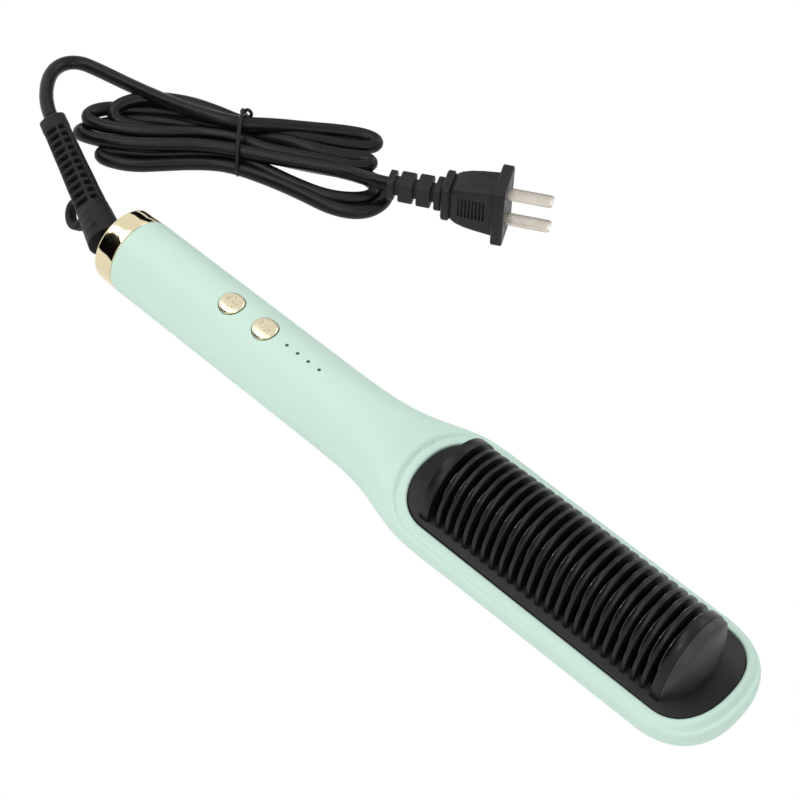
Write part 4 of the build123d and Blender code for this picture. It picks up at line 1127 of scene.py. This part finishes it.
# ---------------------------------------------------------------- boot
def boot_frame():
    """Facing and sideways directions of the boot."""
    across = Vector((-BOOT_AXIS.y, BOOT_AXIS.x, 0.0))
    turn = math.radians(BOOT_FACING)
    facing = across * math.cos(turn) + Vector((0, 0, 1)) * math.sin(turn)
    return facing, facing.cross(BOOT_AXIS)


def boot_half_width(along):
    """Half width between the rows of the table."""
    (low, first), (high, second) = rows_round(BOOT_WIDTHS, along)
    return first + (second - first) * smooth_step(low, high, along)


def boot_slot_depth(along, turn, radius):
    """Depth of the slots at a place of the boot: four columns with plain ribs between them."""
    side = 0.0
    for middle, spread in SLOT_COLUMNS:
        off = abs((turn - middle + 180.0) % 360.0 - 180.0)
        side = max(side, smooth_step(0.0, 0.5, (spread - off) * math.pi / 180 * radius))
    shifted = along + BOOT_SLOT_TILT * radius * math.cos(math.radians(turn))
    index = (BOOT_SLOT_START - shifted) / BOOT_SLOT_PITCH
    if not -0.5 < index < BOOT_SLOTS - 0.5:
        return 0.0
    off = abs(index - round(index)) * BOOT_SLOT_PITCH
    return BOOT_SLOT_DEPTH * side * smooth_step(*BOOT_SLOT_EDGE, off)


def boot_shaft():
    """Tapered shaft with four columns of slots and a plain collar cut at a slant."""
    facing, sideways = boot_frame()
    rings = []
    for row in range(BOOT_ROWS + 1):
        along = -BOOT_FOOT + (BOOT_LENGTH + BOOT_FOOT) * row / BOOT_ROWS
        power = 2.0 + BOOT_SQUARENESS * smooth_step(-2, 10, along)
        ring = []
        for column in range(BOOT_COLUMNS):
            turn = 360.0 * column / BOOT_COLUMNS
            cosine, sine = math.cos(math.radians(turn)), math.sin(math.radians(turn))
            quarter = math.radians((turn + BOOT_CORNER_TURN) % 90.0 - 45.0)
            spread = (abs(math.cos(quarter)) ** power + abs(math.sin(quarter)) ** power) ** (1 / power)
            reach = boot_half_width(along) / spread
            reach -= boot_slot_depth(along, turn, reach)
            slant = COLLAR_SLANT * max(reach * cosine, 0) * smooth_step(COLLAR_START, BOOT_LENGTH, along)
            out = (facing * cosine + sideways * sine) * reach
            ring.append(BOOT_BEND + BOOT_AXIS * (along - slant) + out)
        rings.append(ring)
    return lofted("shaft", rings, RUBBER)


def boot_eye():
    """Flat oval eye beside the boot, to hang the comb from."""
    centre = BOOT_BEND + BOOT_AXIS * EYE_ALONG + EYE_SIDE * EYE_OUT
    face = BOOT_AXIS.cross(EYE_SIDE)
    rings = []
    for sign, profile in ((-1, EYE_PROFILE), (1, EYE_PROFILE[::-1])):
        for share, half in profile:
            length, width = [(outer + (inner - outer) * share) / 2
                             for outer, inner in zip(EYE_OUTER, EYE_INNER)]
            rings.append([centre + BOOT_AXIS * length * x + EYE_SIDE * width * y + face * (sign * half)
                          for x, y in circle(1.0, EYE_STEPS)])
    return lofted("eye", rings + rings[:1], RUBBER, caps=False)


def boot_dome():
    """Low dome that fills the ring's bore and carries the shaft."""
    rings = []
    for row in range(1, DOME_FOOT_ROWS + 1):
        turn = math.pi / 2 * row / DOME_FOOT_ROWS
        height = max(DOME_FOOT_SHARE * DOME_FOOT_RADIUS * math.cos(turn), DOME_FOOT_LEAST)
        rings.append([at(-height, side, rise)
                      for side, rise in circle(DOME_FOOT_RADIUS * math.sin(turn), DOME_FOOT_STEPS)])
    return lofted("ball", rings, RUBBER)


def strain_relief():
    """Moulded boot in one skin: domed foot, slotted shaft with its collar, hanging eye and a small bump."""
    facing, sideways = boot_frame()
    along, out, aside = BUMP_PLACE
    spot = BOOT_BEND + BOOT_AXIS * along + facing * out + sideways * aside
    bump = drum("bump", spot, BUMP_RADIUS, -BUMP_RADIUS, BUMP_RADIUS, RUBBER, 20)
    whole = joined("cord_boot_moulding", [boot_shaft(), boot_eye(), boot_dome(), bump])
    skin = whole.modifiers.new("skin", "REMESH")
    skin.mode = "VOXEL"
    skin.voxel_size = SKIN_VOXEL * MM
    soften = whole.modifiers.new("soften", "SMOOTH")
    soften.factor = 0.5
    soften.iterations = SKIN_SOFTENING
    return settled(whole, 180.0)


# ---------------------------------------------------------------- cord and tie
def turned(start, turn, along, side, height):
    """Point at a step along and across from a start, turned about the upright."""
    return Vector((start.x + along * math.cos(turn) - side * math.sin(turn),
                   start.y + along * math.sin(turn) + side * math.cos(turn), height))


def hank_place(along, side, height):
    """Point of the folded cord, along and across the hank."""
    return turned(HANK_START, HANK_TURN, along, side, height)


def cord_points():
    """Control points of the cord: lead from the boot, four tied turns, tail to the plug's sleeve."""
    points = [Vector(point) for point in LEAD_POINTS]
    points += [hank_place(*point) for point in LEAD_ON_HANK]
    points.append(hank_place(TIE_DISTANCE, *TIE_TOP))
    for end, sides, heights, tie in LOOPS:
        start = TIE_DISTANCE + math.copysign(TIE_HALF_WIDTH, end - TIE_DISTANCE)
        for share, side, height in zip(LOOP_STATIONS, sides, heights):
            points.append(hank_place(start + (end - start) * share, side, height))
        points.append(hank_place(TIE_DISTANCE, *tie))
    points += [hank_place(*point) for point in TAIL_ON_HANK]
    return points + [PLUG_START]


def smooth_line(name, points, diameter, material):
    """Round tube on one smooth spline through the points' run."""
    line = bpy.data.curves.new(name, "CURVE")
    line.dimensions = "3D"
    spline = line.splines.new("NURBS")
    spline.points.add(len(points) - 1)
    for knot, point in zip(spline.points, points):
        knot.co = (*(point * MM), 1.0)
    spline.order_u = 3
    spline.use_endpoint_u = True
    line.resolution_u = 8
    line.bevel_depth = diameter / 2 * MM
    line.bevel_resolution = 5
    line.use_fill_caps = True
    line.materials.append(material)
    return placed(name, line)


def tie_place(side, height):
    """Point of the slanting tie, across and up from the hank's foot."""
    along, slant, middle = TIE_SLANT
    return hank_place(TIE_DISTANCE + along - slant * (side - middle), side, height)


def tie_wire():
    """Covered wire pressed round the hank, with a small twisted loop on top."""
    belt = [tie_place(*point) for point in TIE_BELT + TIE_BELT[:2]]
    loop = [tie_place(*point) for point in LOOP_ENDS[0]]
    along, side, height = LOOP_MIDDLE
    for turn in LOOP_TURNS:
        turn = math.radians(turn)
        loop.append(hank_place(TIE_DISTANCE + along + LOOP_RADIUS * math.sin(turn), side,
                               height - LOOP_RADIUS * math.cos(turn)))
    loop += [tie_place(*point) for point in LOOP_ENDS[1]]
    solids = []
    for name, points, size in (("belt", belt, BELT_DIAMETER), ("loop", loop, LOOP_DIAMETER)):
        wire = smooth_line(name, points, size, WIRE_TIE)
        graph = bpy.context.evaluated_depsgraph_get()
        mesh = bpy.data.meshes.new_from_object(wire.evaluated_get(graph))
        solids.append(smoothed(placed(name + "_mesh", mesh)))
        bpy.data.objects.remove(wire)
    return joined("tie_wire_wrap", solids)


# ---------------------------------------------------------------- plug
def plug_place(along, side, lift):
    """Point of the plug, which lies a little rolled: along its axis, sideways and up."""
    side, lift = (side * math.cos(PLUG_ROLL) + lift * math.sin(PLUG_ROLL),
                  lift * math.cos(PLUG_ROLL) - side * math.sin(PLUG_ROLL))
    return turned(PLUG_START, PLUG_TURN, along, side, PLUG_START.z + lift)


def slab(name, stations):
    """Loft of rounded rectangles along the plug: distance, width, height and corner radius for each."""
    rings = [[plug_place(along, x, y) for x, y in rounded_rectangle(width, height, corner, 6)]
             for along, width, height, corner in stations]
    return lofted(name, rings, PLUG, sharp=30)


def plug_moulding():
    """Plug body: ribbed sleeve, collar, grooved grip and the thicker face plate."""
    things = []
    for start, end, width in CUFFS:
        ends = (width - 0.6, width - 0.2, 1.9)
        middle = (width, width + 0.4, 2.1)
        stations = ((start, *ends), (start + 0.4, *middle), (end - 0.4, *middle), (end, *ends))
        things.append(slab("cuff", stations))
    grooves = []
    for index in range(GRIP_GROOVES):
        along = GRIP_GROOVE_START + GRIP_GROOVE_PITCH * index
        for sign in (-1, 1):
            rings = [[plug_place(along + x, sign * reach, y + GRIP_GROOVE_LIFT)
                      for x, y in rounded_rectangle(*GRIP_GROOVE_SIZE, 3)] for reach in GRIP_GROOVE_REACH]
            grooves.append(lofted("groove", rings, PLUG))
    things += [slab("core", SLEEVE_CORE), slab("collar", COLLAR), cut(slab("grip", GRIP), grooves, 30),
               slab("plate", FACE_PLATE), slab("ridge", GRIP_RIDGE)]
    return joined("plug_moulding", things)


def plug_prongs():
    """Two flat blades with rounded, chamfered tips."""
    prongs = []
    for middle in (-BLADE_LIFT, BLADE_LIFT):
        rings = [[plug_place(along, x, middle + y)
                  for x, y in rounded_rectangle(width, thickness, thickness * 0.24, 3)]
                 for along, width, thickness in BLADE_ROWS]
        prongs.append(lofted("prong", rings, BLADE, sharp=30))
    return joined("plug_prongs", prongs)


# ---------------------------------------------------------------- the set
CAMERA_TURN = math.radians(43.9)
CAMERA_LIFT = math.radians(53.51)
CAMERA_ROLL = math.radians(-0.68)
CAMERA_TARGET = Vector((-17.76, 18.26, 16.0))
CAMERA_DISTANCE = 626.88
SENSOR_WIDTH = 36.0
PICTURE_WIDTH = 800
FOCAL_PIXELS = 1756.75
FLOOR_HALF_WIDTH = 3000
FLOOR_HEIGHT = -0.2
WORLD_STRENGTH = 0.52
# name, place and aim in metres, size and power
SOFTBOXES = (("key_softbox", (-0.6, -0.35, 1.1), (0, 0, 0), (0.9, 0.9), 5.0),
             ("fill_softbox", (0.9, -0.7, 0.8), (0, 0, 0), (0.8, 0.8), 2.6),
             ("back_softbox", (0.2, 1.2, 0.9), (0, 0, 0), (1.2, 0.6), 4.0),
             ("edge_softbox", (-0.12, -0.86, 0.98), (0.07, 0, 0), (0.10, 0.34), 2.2))
# name, step from the ring in metres and size
DARK_CARDS = (("side_card", (-0.247, -0.458, 0.298), (0.5, 0.62)),
              ("back_card", (-0.24, 0.53, 0.06), (0.4, 0.30)))


def place_camera():
    """Camera on the comb, the handle, the boot and the cord."""
    lens = bpy.data.cameras.new("camera")
    lens.sensor_width = SENSOR_WIDTH
    lens.lens = FOCAL_PIXELS / PICTURE_WIDTH * SENSOR_WIDTH
    lens.clip_start = 0.01
    level = math.cos(CAMERA_LIFT)
    back = Vector((math.sin(CAMERA_TURN) * level, -math.cos(CAMERA_TURN) * level, math.sin(CAMERA_LIFT)))
    right = Vector((math.cos(CAMERA_TURN), math.sin(CAMERA_TURN), 0))
    up = back.cross(right)
    across = right * math.cos(CAMERA_ROLL) + up * math.sin(CAMERA_ROLL)
    upward = up * math.cos(CAMERA_ROLL) - right * math.sin(CAMERA_ROLL)
    camera = placed("camera", lens)
    camera.matrix_world = (Matrix.Translation((CAMERA_TARGET + back * CAMERA_DISTANCE) * MM)
                           @ Matrix((across, upward, back)).transposed().to_4x4())
    bpy.context.scene.camera = camera


def softbox(name, place, aim, size, power):
    """Rectangular soft lamp at a place in metres, turned to a point."""
    lamp = bpy.data.lights.new(name, "AREA")
    lamp.shape = "RECTANGLE"
    lamp.size, lamp.size_y = size
    lamp.energy = power
    turn = (Vector(aim) - Vector(place)).to_track_quat("-Z", "Y")
    placed(name, lamp).matrix_world = Matrix.Translation(place) @ turn.to_matrix().to_4x4()


def white_to_camera(tree, plain):
    """Shader that is pure white to the camera and in reflections, and the plain one to everything else."""
    start = Wire(tree)
    path = tree.nodes.new("ShaderNodeLightPath")
    seen = Wire(tree, path.outputs["Is Camera Ray"]) + Wire(tree, path.outputs["Is Glossy Ray"])
    seen = seen + Wire(tree, path.outputs["Is Transmission Ray"])
    seen = start.node("ShaderNodeClamp", inputs={"Value": seen})
    kind = "ShaderNodeBackground" if tree == bpy.context.scene.world.node_tree else "ShaderNodeEmission"
    white = start.node(kind, inputs={"Color": (1, 1, 1, 1), "Strength": 1.0})
    return start.node("ShaderNodeMixShader", inputs={0: seen, 1: plain, 2: white})


def dress_world():
    """Pale studio world."""
    world = bpy.data.worlds.new("studio")
    bpy.context.scene.world = world
    world.use_nodes = True
    tree = world.node_tree
    background = tree.nodes["Background"]
    background.inputs["Color"].default_value = (1, 1, 1, 1)
    background.inputs["Strength"].default_value = WORLD_STRENGTH
    mixed = white_to_camera(tree, Wire(tree, background.outputs[0]))
    tree.links.new(mixed.socket, tree.nodes["World Output"].inputs["Surface"])


def floor():
    """Pale floor under the object."""
    material = plain_grey("floor_white", 246, "Roughness", 0.9)
    tree = material.node_tree
    mixed = white_to_camera(tree, Wire(tree, tree.nodes["Principled BSDF"].outputs[0]))
    tree.links.new(mixed.socket, tree.nodes["Material Output"].inputs["Surface"])
    corners = [Vector((x * FLOOR_HALF_WIDTH, y * FLOOR_HALF_WIDTH, FLOOR_HEIGHT)) for x, y in CORNERS]
    ground = made("floor", corners, [(0, 1, 2, 3)], material)
    if ground.data.polygons[0].normal.z < 0:
        ground.data.flip_normals()


def dark_cards():
    """Black cards round the gold ring that only polished surfaces see."""
    material = plain_grey("card_black", 12, "Specular IOR Level", 0.0)
    ring_middle = at(RING_LENGTH / 2) * MM
    for name, step, size in DARK_CARDS:
        middle = ring_middle + Vector(step)
        turn = (ring_middle - middle).to_track_quat("-Z", "Y")
        corners = [(middle + turn @ Vector((x * size[0] / 2, y * size[1] / 2, 0))) / MM for x, y in CORNERS]
        card = made(name, corners, [(0, 1, 2, 3)], material)
        card.visible_camera = False
        card.visible_diffuse = False
        card.visible_shadow = False


# ---------------------------------------------------------------- assembly
def fit(piece, body, slot, *nodes):
    """A finished piece rides its body and stands for its nodes; the slot is not used."""
    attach(piece, body)
    if nodes:
        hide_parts(*nodes)
    return piece


bpy.context.scene.view_settings.view_transform = "Standard"
place_camera()
dress_world()
floor()
dark_cards()
for lamp in SOFTBOXES:
    softbox(*lamp)

fit(upper_shell(), "housing", "mint_plastic", "main_shell")
fit(lower_shell(), "housing", "mint_plastic", "back_cover")
fit(housing_screws(), "housing", "steel", "case_screws")
fit(polished_ring(), "housing", "gold_ring", "end_ring")
fit(comb_guard(), "housing", "black_plastic", "comb_cover")
fit(comb_fins(), "housing", "black_fin", "heated_comb")
fit(button("power_key", BUTTON_PLACES[0], power_marks()), "power_button", "gold_button", "power_button")
fit(button("temperature_key", BUTTON_PLACES[1], heat_marks()), "temperature_button", "gold_button",
    "temperature_button")
boot = fit(strain_relief(), "swivel", "boot_rubber", "cord_boot")
tie = fit(tie_wire(), "swivel", "tie_wire", "cord_tie")
moulding = fit(plug_moulding(), "swivel", "plug_plastic", "plug_body")
prongs = fit(plug_prongs(), "swivel", "blade_metal", "plug_blades")
cord = fit(smooth_line("power_cord", cord_points(), CORD_DIAMETER, SHEATH), "swivel", "cord_rubber",
           "cord_lead", "cord_hank", "cord_tail")

for material, nodes in INNER_FINISHES:
    for node in nodes.split():
        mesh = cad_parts[node].data
        mesh.materials.clear()
        mesh.materials.append(material)
